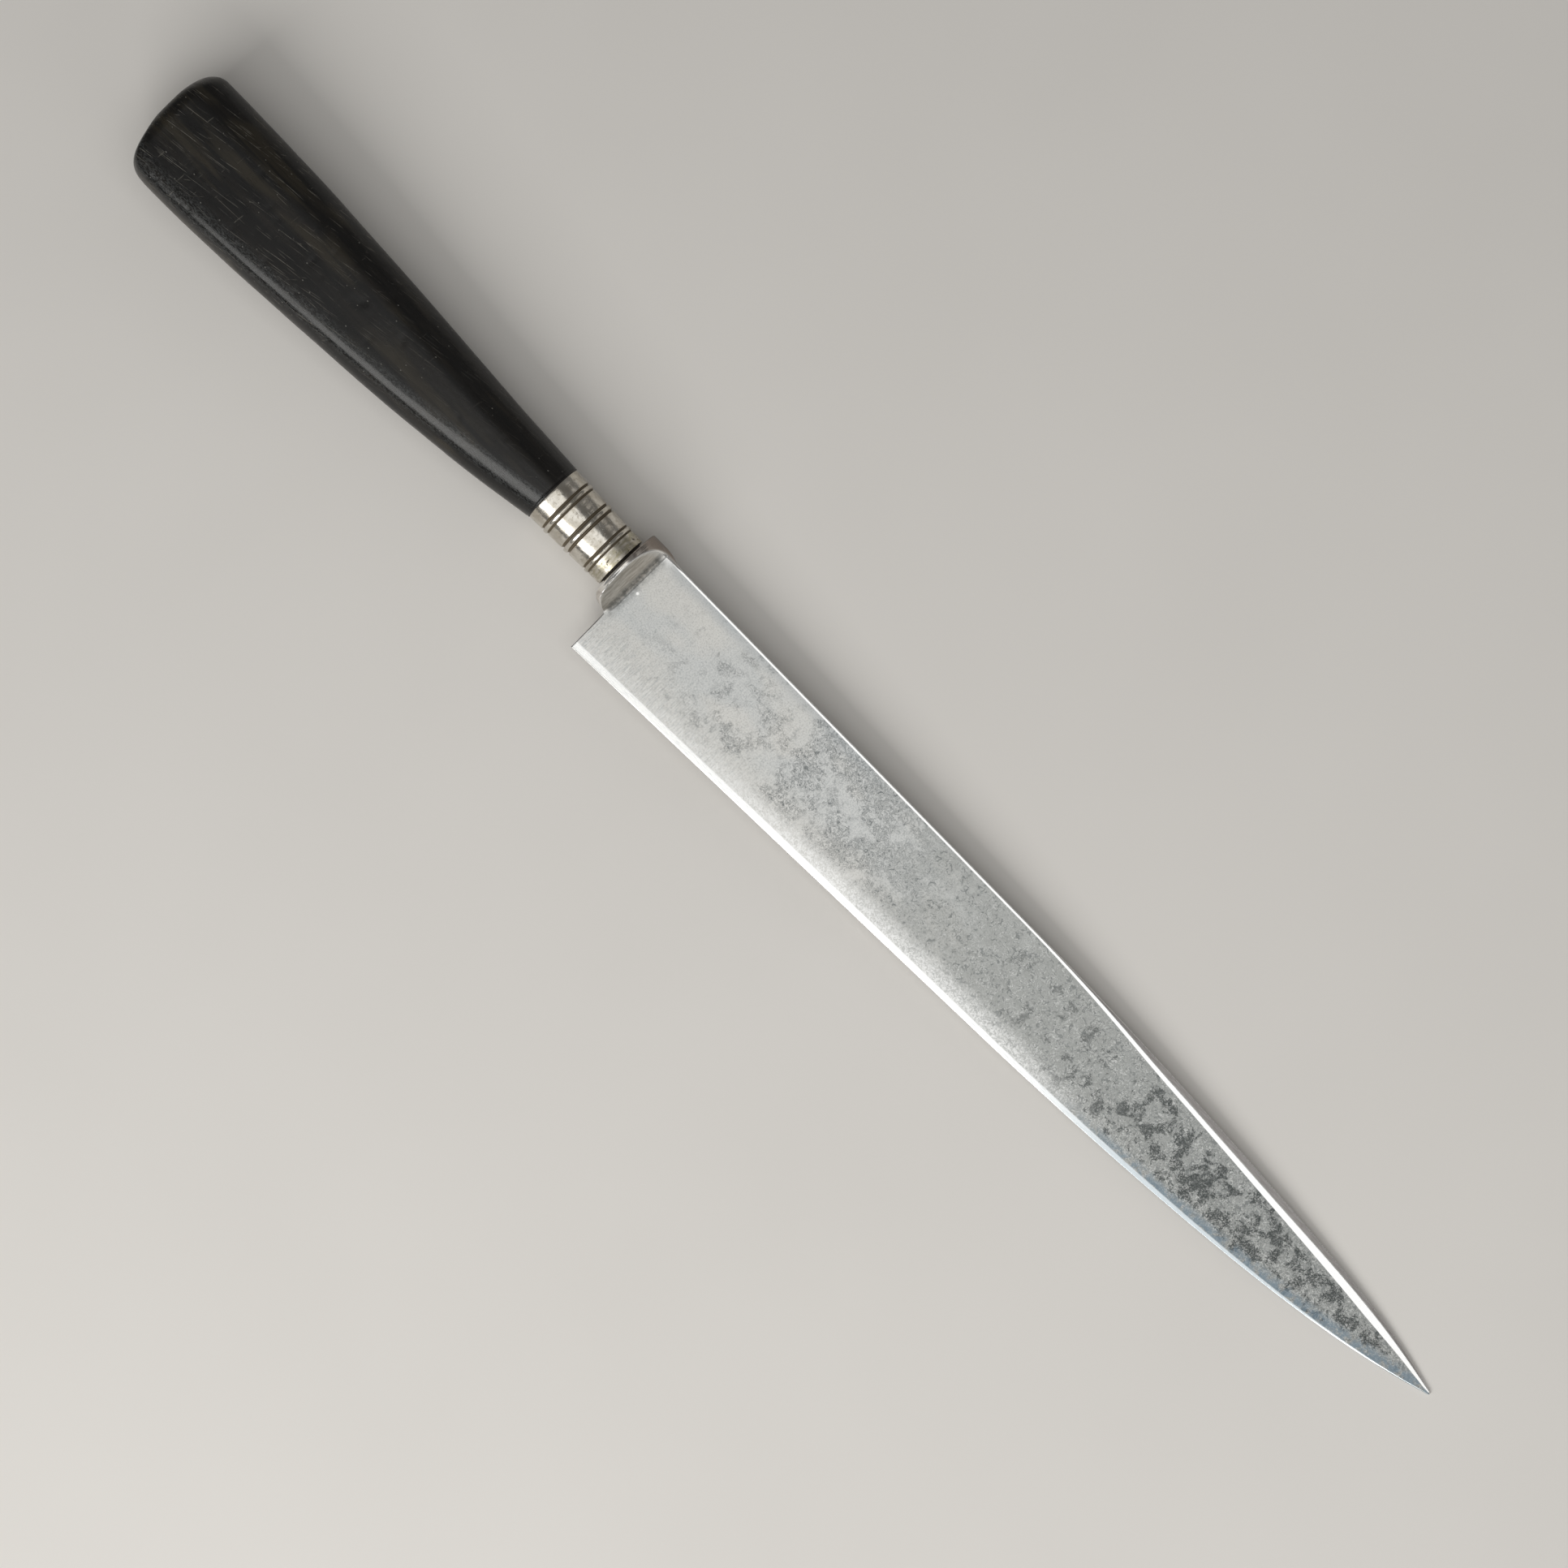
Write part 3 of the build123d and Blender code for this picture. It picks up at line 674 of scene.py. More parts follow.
# ---- materials
class Recipe:
    """One material's node tree, called r below. Each method adds nodes and returns their output."""

    def __init__(self, name):
        self.material = bpy.data.materials.new(name)
        self.material.use_nodes = True
        self.tree = self.material.node_tree
        self.shader = self.tree.nodes["Principled BSDF"]
        place = self.tree.nodes.new("ShaderNodeTexCoord").outputs["Object"]
        shift = self.node("ShaderNodeVectorMath", [place, tuple(ORIGIN)], operation="SUBTRACT")
        self.place = self.node("ShaderNodeVectorMath", [shift, (1 / MM,) * 3], operation="MULTIPLY")

    def node(self, kind, inputs=(), output=0, **settings):
        node = self.tree.nodes.new(kind)
        for key, value in settings.items():
            setattr(node, key, value)
        pairs = inputs.items() if isinstance(inputs, dict) else enumerate(inputs)
        for key, value in pairs:
            if isinstance(value, bpy.types.NodeSocket):
                self.tree.links.new(value, node.inputs[key])
            elif value is not None:
                node.inputs[key].default_value = value
        return node.outputs[output]

    def math(self, operation, a, b=0.0, clamp=False):
        return self.node("ShaderNodeMath", [a, b], operation=operation, use_clamp=clamp)

    def times(self, *factors):
        total = factors[0]
        for factor in factors[1:]:
            total = self.math("MULTIPLY", total, factor)
        return total

    def plus(self, a, b):
        return self.math("ADD", a, b)

    def most(self, a, b):
        return self.math("MAXIMUM", a, b)

    def without(self, a):
        return self.math("SUBTRACT", 1.0, a, clamp=True)

    def step(self, value, low, high, start=0.0, end=1.0):
        """start up to low, end from high, smooth between."""
        inputs = {"Value": value, "From Min": low, "From Max": high, "To Min": start, "To Max": end}
        return self.node("ShaderNodeMapRange", inputs, interpolation_type="SMOOTHSTEP")

    def stretched(self, scale, turn=0.0, shift=(0.0, 0.0, 0.0)):
        """The place in mm, turned about z and then scaled."""
        turned = self.node("ShaderNodeVectorRotate", {"Vector": self.place, "Angle": radians(turn)})
        moved = self.node("ShaderNodeVectorMath", [turned, shift], operation="ADD")
        return self.node("ShaderNodeVectorMath", [moved, scale], operation="MULTIPLY")

    def noise(self, scale=(1, 1, 1), detail=2.0, rough=0.5, distort=0.0, turn=0.0, shift=(0.0, 0.0, 0.0)):
        """Noise from 0 to 1 whose lumps are about 1 / scale mm."""
        inputs = {
            "Vector": self.stretched(scale, turn, shift),
            "Scale": 1.0,
            "Detail": detail,
            "Roughness": rough,
            "Distortion": distort,
        }
        return self.node("ShaderNodeTexNoise", inputs)

    def cells(self, scale=(1, 1, 1), shift=(0.0, 0.0, 0.0)):
        """Distance from the middle of cells about 1 / scale mm wide."""
        inputs = {"Vector": self.stretched(scale, 0.0, shift), "Scale": 1.0}
        return self.node("ShaderNodeTexVoronoi", inputs)

    def attribute(self, name):
        """Value that the mesh holds for its points."""
        return self.node("ShaderNodeAttribute", output=2, attribute_name=name)

    def axis(self, letter):
        """One of the knife's own coordinates, in mm."""
        return self.node("ShaderNodeSeparateXYZ", [self.place], output="XYZ".index(letter))

    def mix(self, share, a, b, blend="MIX"):
        """Colour a where share is 0 and b where it is 1."""
        node = self.tree.nodes.new("ShaderNodeMix")
        node.data_type = "RGBA"
        node.blend_type = blend
        for key, value in ((0, share), (6, a), (7, b)):
            if isinstance(value, bpy.types.NodeSocket):
                self.tree.links.new(value, node.inputs[key])
            else:
                node.inputs[key].default_value = value if key == 0 else (*value, 1.0)
        return node.outputs[2]

    def blend(self, share, a, b):
        """Number a where share is 0 and b where it is 1."""
        return self.node("ShaderNodeMix", {0: share, 2: a, 3: b})

    def bumps(self, *layers):
        """Normal from (height, depth in mm) layers."""
        normal = None
        for height, depth in layers:
            inputs = {"Height": height, "Distance": depth * MM, "Strength": 1.0, "Normal": normal}
            normal = self.node("ShaderNodeBump", inputs)
        return normal

    def finish(self, color, roughness, normal, metallic=0.0, specular=0.5):
        shader = self.shader.inputs
        for key, value in (("Base Color", color), ("Roughness", roughness), ("Metallic", metallic)):
            if isinstance(value, bpy.types.NodeSocket):
                self.tree.links.new(value, shader[key])
            else:
                shader[key].default_value = (*value, 1.0) if key == "Base Color" else value
        shader["Specular IOR Level"].default_value = specular
        self.tree.links.new(normal, shader["Normal"])
        return self.material


class BladeSteel(Recipe):
    """Recipe for the blade's satin carbon steel, with what its kinds of wear and its painted shade and
    highlights share.
    """

    def __init__(self):
        super().__init__("blade_steel")
        self.x, self.y = self.axis("X"), self.axis("Y")
        self.under = self.math("LESS_THAN", self.axis("Z"), 0.0)
        # The two sides are stained apart from each other.
        aside = [self.times(self.under, 61.0), self.times(self.under, 37.0), 0.0]
        shift = self.node("ShaderNodeCombineXYZ", aside)
        flatten = self.node("ShaderNodeVectorMath", [self.place, (1, 1, 0.35)], operation="MULTIPLY")
        self.place = self.node("ShaderNodeVectorMath", [flatten, shift], operation="ADD")
        self.bevel, self.arris, self.swedge = (self.attribute(key) for key in ("bevel", "arris", "swedge"))
        self.ridge, self.ramp, self.band = (self.attribute(key) for key in ("ridge", "ramp", "band"))
        self.above, self.below = self.attribute("above_edge"), self.attribute("below_back")
        self.flat = self.times(self.without(self.bevel), self.without(self.arris), self.without(self.swedge))
        self.grain = self.noise((3.1, 3.1, 3.1), 4, 0.7)
        self.strokes = self.noise((5.4, 0.4, 1), 3, 0.65, turn=2)
        self.clusters = self.noise((0.13, 0.16, 0.16), 3, 0.6, 0.3, shift=(11.0, 4.0, 0.0))
        self.lumps = self.noise((0.5, 0.5, 0.5), 3, 0.6, 0.4, shift=(3.0, 8.0, 0.0))
        self.curls = self.noise((1.0, 1.0, 1.0), 3, 0.6, 1.2, shift=(5.0, 1.0, 0.0))
        self.lines = self.step(self.math("ABSOLUTE", self.plus(self.curls, -0.5)), 0.055, 0.015)


def ground(r):
    """Bare steel: warm and cool clouds, fine grain, strokes across the blade, and a painted shade on the flat
    under its back.
    """
    x, above = r.x, r.above
    cloud = r.noise((0.05, 0.09, 0.1), 2, 0.5)
    cool = r.step(r.plus(cloud, r.times(r.step(x, 25, 60), 0.12)), 0.44, 0.62)
    cool = r.times(cool, r.step(above, 4, 12))
    color = r.mix(cool, (0.560, 0.552, 0.527), (0.495, 0.507, 0.505))
    color = r.mix(r.step(r.grain, 0.36, 0.64, 0.0, 0.5), color, (0.71, 0.71, 0.69))
    color = r.mix(r.step(r.grain, 0.48, 0.34, 0.0, 0.4), color, (0.30, 0.305, 0.30))
    low = r.times(r.step(above, 11, 4), r.step(x, 64, 20), 0.7)
    drawn = r.plus(r.times(low, 0.5), 0.1)
    color = r.mix(r.times(r.step(r.strokes, 0.5, 0.64), drawn), color, (0.30, 0.335, 0.35))
    color = r.mix(r.times(r.step(r.strokes, 0.47, 0.33), drawn), color, (0.80, 0.81, 0.80))
    # Painted shade: the flat is darker and bluer just under the back, from near the heel to the middle.
    painted_shade_under_back = r.times(r.step(r.below, 3.4, 0.8), r.step(x, 90, 40), r.step(x, 5, 9))
    return r.mix(r.times(painted_shade_under_back, 0.35), color, (0.30, 0.34, 0.38))


def freckled(r, color):
    """Dark curls of stain, gathered in clusters. Also returns how much of them there is."""
    x = r.x
    gather = r.plus(r.clusters, r.times(r.lumps, 0.7))
    gather = r.plus(gather, r.step(x, 0, 80, -0.09, 0.16))
    gathered = r.times(r.step(gather, 0.82, 1.02), r.step(r.above, 2.5, 6), r.step(x, 6, 22), r.flat)
    curled = r.plus(r.times(r.lines, 0.6), r.step(r.curls, 0.56, 0.66, 0.0, 0.8))
    freckle = r.times(gathered, curled)
    shown = r.times(freckle, r.step(x, 0, 60, 0.6, 0.95))
    return r.mix(shown, color, (0.125, 0.14, 0.145)), freckle


def dulled(r, color):
    """Grey skin from the middle on, with light curls. Also returns how dull it is, and the curls."""
    x = r.x
    edge = r.plus(x, r.times(r.plus(r.clusters, -0.5), 60.0))
    dull = r.times(r.step(edge, 62, 112), r.flat)
    skin_color = r.mix(r.step(x, 90, 190), (0.375, 0.385, 0.372), (0.262, 0.275, 0.268))
    skin_color = r.mix(r.step(r.grain, 0.38, 0.62, 0.0, 0.45), skin_color, (0.48, 0.49, 0.485))
    crowd = r.plus(r.step(r.lumps, 0.4, 0.62), r.times(r.step(r.above, 8, 3), 0.5))
    crowd = r.math("MINIMUM", r.plus(crowd, 0.2), 1.0)
    light_curl = r.times(r.lines, r.step(r.grain, 0.42, 0.56), crowd)
    skin_color = r.mix(light_curl, skin_color, (0.64, 0.65, 0.64))
    skin_color = r.mix(r.step(r.curls, 0.54, 0.64, 0.0, 0.65), skin_color, (0.19, 0.205, 0.205))
    return r.mix(r.times(dull, 0.92), color, skin_color), dull, light_curl


def patched(r, color, light_curl):
    """Ragged dark patches towards the tip, between the light curls. Also returns where they are, and
    how strongly they show there."""
    x = r.x
    ragged = r.noise((0.34, 0.3, 0.3), 7, 0.74, 0.35, shift=(9.0, 2.0, 0.0))
    groups = r.noise((0.11, 0.14, 0.14), 2, 0.5, 0.3, shift=(2.0, 7.0, 0.0))
    lift = r.plus(r.step(x, 84, 200, -0.07, 0.06), r.times(r.plus(groups, -0.5), 0.3))
    middle = r.times(r.step(r.above, 1.4, 3.2), r.step(r.below, 2.0, 5.0))
    lift = r.plus(lift, r.times(r.plus(middle, -1.0), 0.12))
    patch = r.step(r.plus(ragged, lift), 0.51, 0.57)
    patch = r.times(patch, r.step(x, 80, 120), r.flat, r.without(r.times(light_curl, 0.7)))
    shown = r.times(patch, r.step(x, 100, 165, 0.35, 0.9))
    patch_color = r.mix(r.step(r.grain, 0.42, 0.66), (0.060, 0.069, 0.068), (0.17, 0.18, 0.18))
    color = r.mix(shown, color, patch_color)
    fleck = r.step(r.noise((2.6, 2.6, 2.6), 3, 0.7, 1.2), 0.6, 0.66)
    fleck = r.times(fleck, r.step(x, 100, 140), r.flat)
    return r.mix(r.times(fleck, 0.6), color, (0.46, 0.47, 0.46)), patch, shown


def rubbed(r, color):
    """Bright crumbs over the bevel, and a bluish strip there near the tip."""
    x, above = r.x, r.above
    crumbs = r.step(r.noise((1.9, 1.9, 1.9), 4, 0.7, 0.8), 0.42, 0.6)
    rub = r.times(r.step(above, 6.5, 1.7), r.step(x, 20, 80, 0.35, 1.0), r.step(x, 150, 118), r.flat)
    rub = r.times(rub, r.plus(r.times(crumbs, 0.6), 0.3))
    color = r.mix(rub, color, (0.93, 0.935, 0.93))
    blue = r.times(r.step(above, 3.4, 1.2), r.step(x, 128, 160), r.flat)
    blue = r.times(blue, r.step(r.lumps, 0.35, 0.55))
    return r.mix(r.times(blue, 0.75), color, (0.20, 0.27, 0.33))


def honed(r, color):
    """Cutting bevel with marks along it and a dark fine edge at the heel, then swedge and its arris."""
    x = r.x
    bright = r.mix(r.step(x, 20, 70), (0.76, 0.765, 0.755), (0.95, 0.955, 0.95))
    bright = r.mix(r.step(x, 116, 158), bright, (0.60, 0.66, 0.70))
    hone_marks = r.noise((0.7, 9, 9), 2, 0.5, turn=-2)
    bright = r.mix(r.times(r.step(hone_marks, 0.48, 0.66), 0.3), bright, (0.42, 0.45, 0.47))
    color = r.mix(r.bevel, color, bright)
    fine_edge = r.times(r.step(r.above, 0.36, 0.2), r.step(x, 26, 8))
    color = r.mix(r.times(fine_edge, 0.6), color, (0.30, 0.30, 0.29))
    streaks = r.step(r.noise((0.5, 4, 4), 3, 0.6), 0.35, 0.65)
    pink = r.mix(streaks, (0.62, 0.585, 0.57), (0.78, 0.75, 0.74))
    color = r.mix(r.times(r.swedge, 0.9), color, pink)
    return r.mix(r.arris, color, (0.98, 0.98, 0.975))


def bolster_wear_shade_and_highlight(r, color):
    """Drag marks on the bolster's ramp, its dark foot and its tarnished rear band, with painted shade on the
    band's upper part and a painted highlight on its lower part.
    """
    x, y = r.x, r.y
    drag = r.noise((3.2, 0.35, 0.6), 3, 0.6)
    ramp_color = r.mix(r.step(drag, 0.36, 0.64), (0.50, 0.465, 0.415), (0.69, 0.66, 0.61))
    color = r.mix(r.ramp, color, ramp_color)
    along = r.times(r.step(x, 3.2, 4.2), r.step(x, 6.6, 4.5))
    foot = r.times(along, r.step(y, -10.5, -7.5), r.step(y, 8.0, 6.8))
    foot = r.times(foot, r.step(r.noise((0.9, 0.9, 0.9), 4, 0.65), 0.3, 0.6, 0.3, 0.85))
    color = r.mix(foot, color, (0.13, 0.135, 0.13))
    tarnish = r.step(r.noise((0.6, 0.8, 0.8), 3, 0.6), 0.4, 0.7)
    band_color = r.mix(tarnish, (0.70, 0.66, 0.61), (0.40, 0.35, 0.32))
    # Painted shade: the band is darker towards its top.
    band_color = r.mix(r.step(y, 3.5, 7.5), band_color, (0.24, 0.205, 0.18))
    # Painted highlight: a near-white stretch on the band's lower part.
    painted_highlight = r.times(r.step(y, 0.0, -2.5), r.step(y, -7.5, -5.5))
    band_color = r.mix(painted_highlight, band_color, (0.96, 0.95, 0.93))
    color = r.mix(r.band, color, band_color)
    return r.mix(r.ridge, color, (0.98, 0.98, 0.97))


def scratched(r, color):
    """Stray scratches along the blade, and a bright nick beside the bolster. Also returns the scratches."""
    long_marks = r.noise((0.12, 9, 1), 0, 0.4, turn=-3, shift=(0.0, 3.0, 0.0))
    slanted = r.noise((0.1, 7, 1), 0, 0.4, turn=17, shift=(9.0, 5.0, 0.0))
    marks = r.most(r.step(long_marks, 0.84, 0.87), r.step(slanted, 0.86, 0.89))
    marks = r.times(marks, r.flat)
    color = r.mix(r.times(marks, 0.65), color, (0.86, 0.86, 0.85))
    from_nick = r.node("ShaderNodeVectorMath", [r.place, (6.15, -1.95, 0.3)], 1, operation="DISTANCE")
    nick = r.times(r.step(from_nick, 0.42, 0.2), r.without(r.under))
    return r.mix(nick, color, (0.95, 0.95, 0.94)), marks


def steel():
    """The blade's steel, stained from its middle on and bright where it is honed or rubbed, with painted
    shade and a painted highlight on the bolster's rear band and painted shade under the back.
    """
    r = BladeSteel()
    color, freckle = freckled(r, ground(r))
    color, dull, light_curl = dulled(r, color)
    color, patch, patch_shown = patched(r, color, light_curl)
    color = bolster_wear_shade_and_highlight(r, honed(r, rubbed(r, color)))
    color, marks = scratched(r, color)

    patina = r.most(r.most(patch_shown, r.times(freckle, 0.8)), r.times(dull, 0.55))
    rough = r.blend(patina, 0.36, 0.48)
    rough = r.blend(r.most(r.bevel, r.arris), rough, 0.24)
    rough = r.blend(r.most(r.band, r.ridge), rough, 0.22)
    rough = r.plus(rough, r.times(r.plus(r.grain, -0.5), 0.12))
    normal = r.bumps(
        (r.strokes, 0.006),
        (r.grain, 0.004),
        (r.without(r.most(freckle, patch)), 0.008),
        (r.without(marks), 0.006),
        (r.noise((9, 9, 9), 2, 0.6), 0.0015),
    )
    return r.finish(color, rough, normal, metallic=r.blend(patina, 1.0, 0.85))


def nickel_silver():
    """Worn nickel silver: bright bands, dark dirt in the grooves, pits near the bolster."""
    r = Recipe("ferrule_metal")
    groove = r.attribute("groove")
    x = r.axis("X")
    cloud = r.noise((0.35, 0.35, 0.35), 3, 0.55)
    color = r.mix(r.step(cloud, 0.35, 0.65), (0.68, 0.65, 0.59), (0.52, 0.485, 0.42))
    fine = r.noise((1.4, 1.4, 1.4), 4, 0.6, 0.3)
    color = r.mix(r.times(r.step(fine, 0.52, 0.7), 0.45), color, (0.36, 0.32, 0.26))
    front = r.step(x, -4.6, -2.8)
    front_stain = r.times(front, r.step(r.noise((2.2, 0.5, 0.5), 3, 0.6), 0.38, 0.62))
    color = r.mix(r.times(front_stain, 0.75), color, (0.36, 0.33, 0.22))
    pitted = r.times(r.step(x, -9.5, -5.0), r.step(cloud, 0.4, 0.56))
    pits = r.times(r.step(r.noise((1.3, 1.3, 1.3), 3, 0.6, 0.6), 0.61, 0.66), pitted)
    dirt = r.most(r.step(groove, 0.25, 0.75), r.times(pits, 0.9))
    edge_dirt = r.times(r.step(groove, 0.02, 0.3), 0.7)
    color = r.mix(edge_dirt, color, (0.42, 0.34, 0.21))
    color = r.mix(r.times(dirt, 0.85), color, (0.085, 0.066, 0.042))
    turn_marks = r.noise((7, 0.25, 0.25), 2, 0.5)
    scratch = r.step(r.noise((0.25, 7, 7), 1, 0.5), 0.7, 0.74)
    rough = r.blend(dirt, r.step(fine, 0.3, 0.7, 0.13, 0.27), 0.6)
    rough = r.plus(rough, r.times(front, 0.14))
    normal = r.bumps(
        (r.without(pits), 0.05),
        (turn_marks, 0.003),
        (r.without(scratch), 0.008),
        (r.noise((1.3, 0.35, 0.35), 3, 0.5), 0.035),
        (r.noise((0.8, 0.8, 0.8), 2, 0.5), 0.03),
    )
    return r.finish(color, rough, normal, metallic=r.blend(dirt, 1.0, 0.35))


def ebony():
    """Near-black ebony, rubbed smooth and lighter on its arris, partly wear and partly a painted highlight,
    with slanting scratches and olive-brown streaks.
    """
    r = Recipe("handle_wood")
    x = r.axis("X")
    streak = r.noise((0.03, 0.5, 0.5), 4, 0.6, 0.4)
    pores = r.noise((0.5, 7, 7), 3, 0.6)
    patch = r.noise((0.045, 0.12, 0.12), 2, 0.5, 0.5, shift=(4.0, 1.0, 2.0))
    color = r.mix(r.step(streak, 0.42, 0.68), (0.0052, 0.005, 0.0048), (0.0125, 0.0108, 0.009))
    y = r.axis("Y")
    rubbed_through = r.times(r.step(x, -84, -104), r.step(y, -3, 3), r.step(y, 9, 6))
    lift = r.plus(patch, r.times(rubbed_through, 0.16))
    olive = r.times(r.step(lift, 0.5, 0.66), r.step(streak, 0.34, 0.6), 0.8)
    color = r.mix(olive, color, (0.030, 0.025, 0.0165))
    color = r.mix(r.times(r.step(pores, 0.58, 0.72), 0.5), color, (0.003, 0.0027, 0.0024))

    # Scratches in families: nearly lengthwise near the butt, and a few ticks across. Each is
    # (scale, turn in degrees, where in the noise a scratch starts and is full, shift, strength).
    worn = r.step(x, -55, -88, 0.28, 1.0)
    families = (
        ((0.085, 6.0, 0.9), -9, 0.755, 0.795, (0.0, 0.0, 0.0), 1.0),
        ((0.11, 6.6, 1.1), -7, 0.77, 0.81, (7.0, 3.0, 1.0), 0.9),
        ((0.13, 5.2, 0.8), -12, 0.78, 0.815, (3.0, 9.0, 2.0), 0.7),
        ((0.1, 5.6, 0.9), -3, 0.785, 0.82, (2.0, 6.0, 5.0), 0.8),
        ((3.4, 0.3, 0.8), 4, 0.80, 0.84, (5.0, 2.0, 0.0), 0.55),
        ((3.0, 0.3, 0.8), 52, 0.82, 0.85, (1.0, 6.0, 4.0), 0.55),
    )
    scratches = 0.0
    for scale, turn, low, high, shift, weight in families:
        mark = r.step(r.noise(scale, 0, 0.45, 0.15, turn=turn, shift=shift), low, high)
        scratches = r.most(scratches, r.times(mark, weight))
    broken = r.step(r.noise((0.5, 1.1, 1.1), 3, 0.6), 0.34, 0.56)
    scratches = r.times(scratches, broken, worn)
    dots = r.cells((0.42, 0.6, 0.6), shift=(1.0, 2.0, 3.0))
    chips = r.times(r.step(dots, 0.085, 0.05), 0.8)
    rub = r.attribute("rub")
    scuff = r.step(r.noise((1.6, 3.6, 3.6), 4, 0.7, 0.4), 0.42, 0.62)
    # Lighter grey scuffs on the edge-side arris: partly rubbed wear, partly a painted highlight.
    color = r.mix(r.times(rub, scuff, 0.6), color, (0.070, 0.074, 0.074))
    color = r.mix(scratches, color, (0.125, 0.117, 0.100))
    color = r.mix(chips, color, (0.17, 0.165, 0.15))

    haze = r.noise((0.3, 1.4, 1.4), 4, 0.65)
    rough = r.step(haze, 0.3, 0.7, 0.26, 0.38)
    rough = r.blend(rub, rough, r.step(scuff, 0.0, 1.0, 0.17, 0.25))
    rough = r.plus(rough, r.times(r.most(scratches, chips), 0.25))
    handled = r.noise((0.9, 2.2, 2.2), 4, 0.7)
    normal = r.bumps(
        (r.without(scratches), 0.012),
        (r.without(chips), 0.03),
        (pores, 0.003),
        (streak, 0.02),
        (handled, 0.012),
    )
    return r.finish(color, rough, normal, specular=0.34)


def pitch():
    """Dark cutler's pitch round the tang."""
    r = Recipe("tang_cement")
    lumps = r.noise((1.6, 1.6, 1.6), 4, 0.6)
    color = r.mix(r.step(lumps, 0.35, 0.65), (0.012, 0.009, 0.007), (0.035, 0.026, 0.018))
    rough = r.step(r.noise((2.4, 2.4, 2.4), 2), 0.3, 0.7, 0.45, 0.8)
    return r.finish(color, rough, r.bumps((lumps, 0.12), (r.noise((6, 6, 6), 3), 0.03)), specular=0.35)


def dull_washer():
    """Nickel silver washer, filed, hammered round the tang's end and dulled."""
    r = Recipe("washer_metal")
    y, z = r.axis("Y"), r.axis("Z")
    cloud = r.noise((0.7, 0.7, 0.7), 4, 0.6)
    color = r.mix(r.step(cloud, 0.35, 0.65), (0.62, 0.585, 0.50), (0.40, 0.355, 0.27))
    from_axis = r.math("SQRT", r.plus(r.times(y, y), r.times(z, z)))
    dirt = r.most(r.step(from_axis, 3.15, 3.45), r.step(from_axis, 2.6, 2.35))
    dirt = r.times(dirt, r.step(cloud, 0.2, 0.5, 0.5, 0.95))
    color = r.mix(dirt, color, (0.06, 0.048, 0.032))
    file_marks = r.noise((1, 0.6, 9), 2, 0.5)
    blows = r.cells((0.9, 0.9, 0.9))
    rough = r.blend(dirt, r.step(cloud, 0.3, 0.7, 0.28, 0.46), 0.7)
    normal = r.bumps((file_marks, 0.01), (blows, 0.06), (r.noise((5, 5, 5), 2), 0.01))
    return r.finish(color, rough, normal, metallic=r.blend(dirt, 1.0, 0.4))


def plain_floor():
    """Pale matt studio floor."""
    r = Recipe("floor")
    tone = r.noise((0.02, 0.02, 0.02), 2, 0.5)
    color = r.mix(tone, (0.78, 0.76, 0.73), (0.82, 0.80, 0.77))
    return r.finish(color, 0.75, r.bumps((r.noise((2, 2, 2), 3, 0.6), 0.01)), specular=0.2)


# ---- pieces
def wear(piece, node, material):
    """The piece stands for a CAD node, in its material."""
    piece.data.materials.append(material)
    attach(piece, "root")
    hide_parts(node)


wear(make_blade(), "blade", steel())
wear(make_ferrule(), "ferrule", nickel_silver())
wear(make_handle(), "handle", ebony())
for node, slot, material in (
    ("tang_cement", "cement", pitch()),
    ("butt_washer", "washer_metal", dull_washer()),
):
    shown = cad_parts[node]
    shown.data.materials.clear()
    shown.data.materials.append(material)

# ---- floor, light and camera
# The knife lies on its bolster and its tip, so the floor rises a little towards the tip.
FLOOR_SIZE = 6.0
TIP_HALF_THICKNESS = 0.25
bolster_low = Vector((ORIGIN.x + RIDGE_X * MM, ORIGIN.y, ORIGIN.z - BOLSTER_Z * MM))
tip_low = Vector((ORIGIN.x + TIP_X * MM, ORIGIN.y, ORIGIN.z - TIP_HALF_THICKNESS * MM))
rise = tip_low - bolster_low
PITCH = atan(rise.z / rise.x)
LEVEL = Matrix.Rotation(-PITCH, 4, "Y")

floor_mesh = bpy.data.meshes.new("floor")
floor_corners = [(x * FLOOR_SIZE / 2, y * FLOOR_SIZE / 2, 0) for x, y in ((-1, -1), (1, -1), (1, 1), (-1, 1))]
floor_mesh.from_pydata(floor_corners, [], [(0, 1, 2, 3)])
floor = bpy.data.objects.new("floor", floor_mesh)
bpy.context.scene.collection.objects.link(floor)
floor.matrix_world = Matrix.Translation(bolster_low) @ LEVEL
floor_mesh.materials.append(plain_floor())

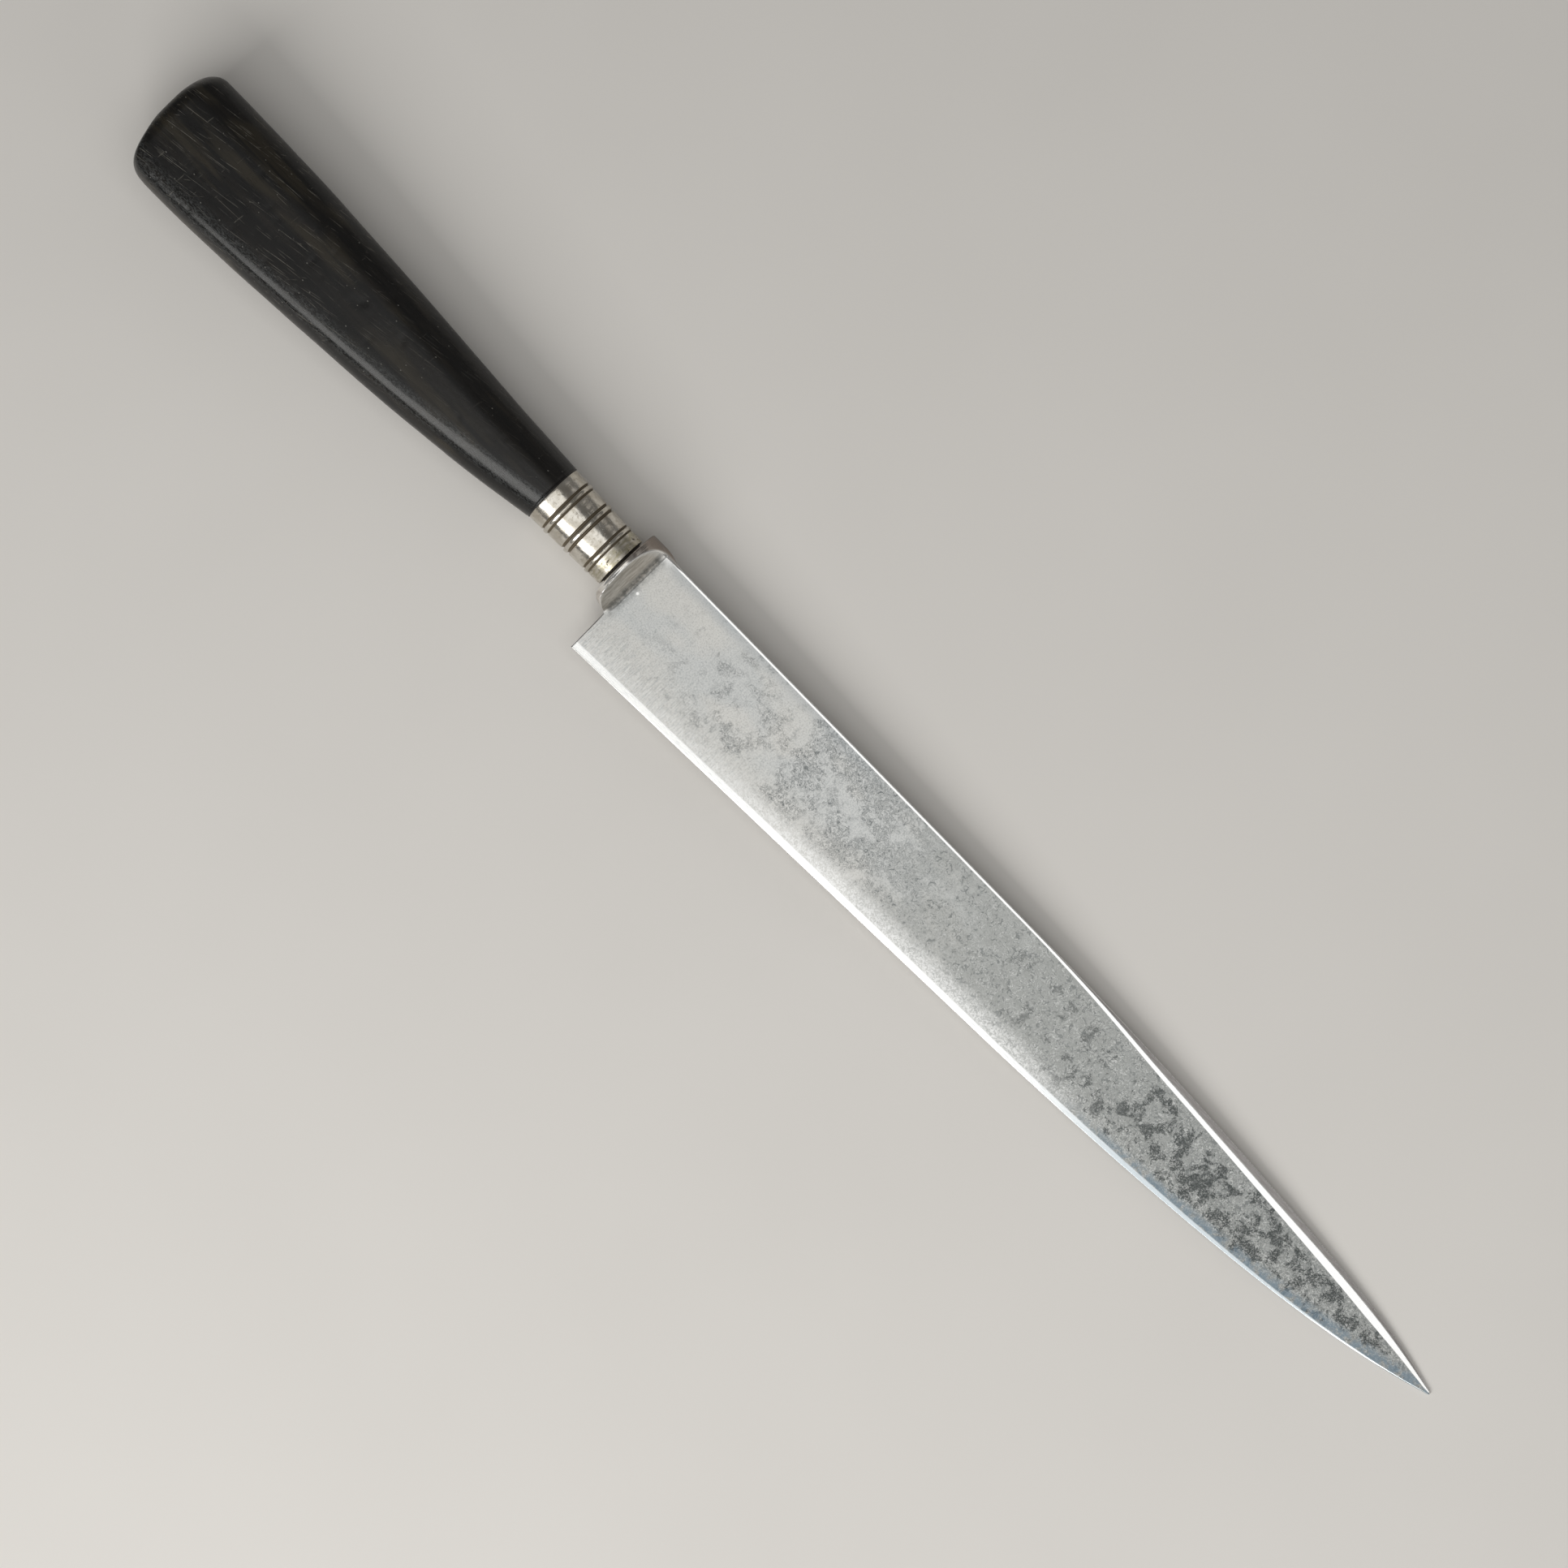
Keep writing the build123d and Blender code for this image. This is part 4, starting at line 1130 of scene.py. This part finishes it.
# The camera looks straight down on the knife, turned as the photograph is.
FRAME_WIDTH = 0.3103  # seen at the knife's middle plane, in metres
FRAME_CENTRE = Vector((2.35 * MM, -3.75 * MM, ORIGIN.z))
DISTANCE = 0.9
TURN = radians(45.594)
SENSOR = 36.0
camera_data = bpy.data.cameras.new("camera")
camera_data.sensor_width = SENSOR
camera_data.lens = SENSOR * DISTANCE / FRAME_WIDTH
camera_data.clip_start = 0.01
camera_data.clip_end = 20
camera = bpy.data.objects.new("camera", camera_data)
bpy.context.scene.collection.objects.link(camera)
camera.matrix_world = (
    Matrix.Translation(FRAME_CENTRE) @ Matrix.Translation((0, 0, DISTANCE)) @ Matrix.Rotation(TURN, 4, "Z")
)
bpy.context.scene.camera = camera


def softbox(name, place, target, size, power, tint):
    """Area light at a place over the knife, facing a target, both in metres from the knife's middle."""
    light = bpy.data.lights.new(name, "AREA")
    light.shape = "RECTANGLE"
    light.size, light.size_y = size
    light.energy = power
    light.color = tint
    lamp = bpy.data.objects.new(name, light)
    bpy.context.scene.collection.objects.link(lamp)
    lamp.location = Vector(place)
    lamp.rotation_mode = "QUATERNION"
    lamp.rotation_quaternion = (Vector(target) - Vector(place)).to_track_quat("-Z", "Y")


softbox("window", (0.2, -0.75, 0.55), (0.2, 0.0, 0.0), (0.9, 0.5), 5.6, (1.0, 0.985, 0.96))
softbox("overhead", (0.145, -0.21, 0.95), (0.145, -0.21, 0.0), (0.75, 1.08), 2.6, (1.0, 1.0, 0.985))
softbox("end", (0.95, -0.1, 0.42), (0.0, 0.0, 0.0), (0.6, 0.5), 0.85, (1.0, 0.98, 0.95))
softbox("fill", (0.3, 0.9, 0.5), (0.0, 0.0, 0.0), (0.8, 0.4), 0.3, (1.0, 0.95, 0.9))

world = bpy.data.worlds.new("studio")
world.use_nodes = True
background = world.node_tree.nodes["Background"].inputs
background["Color"].default_value = (1.0, 0.98, 0.95, 1.0)
background["Strength"].default_value = 0.17
bpy.context.scene.world = world
bpy.context.scene.view_settings.view_transform = "Standard"
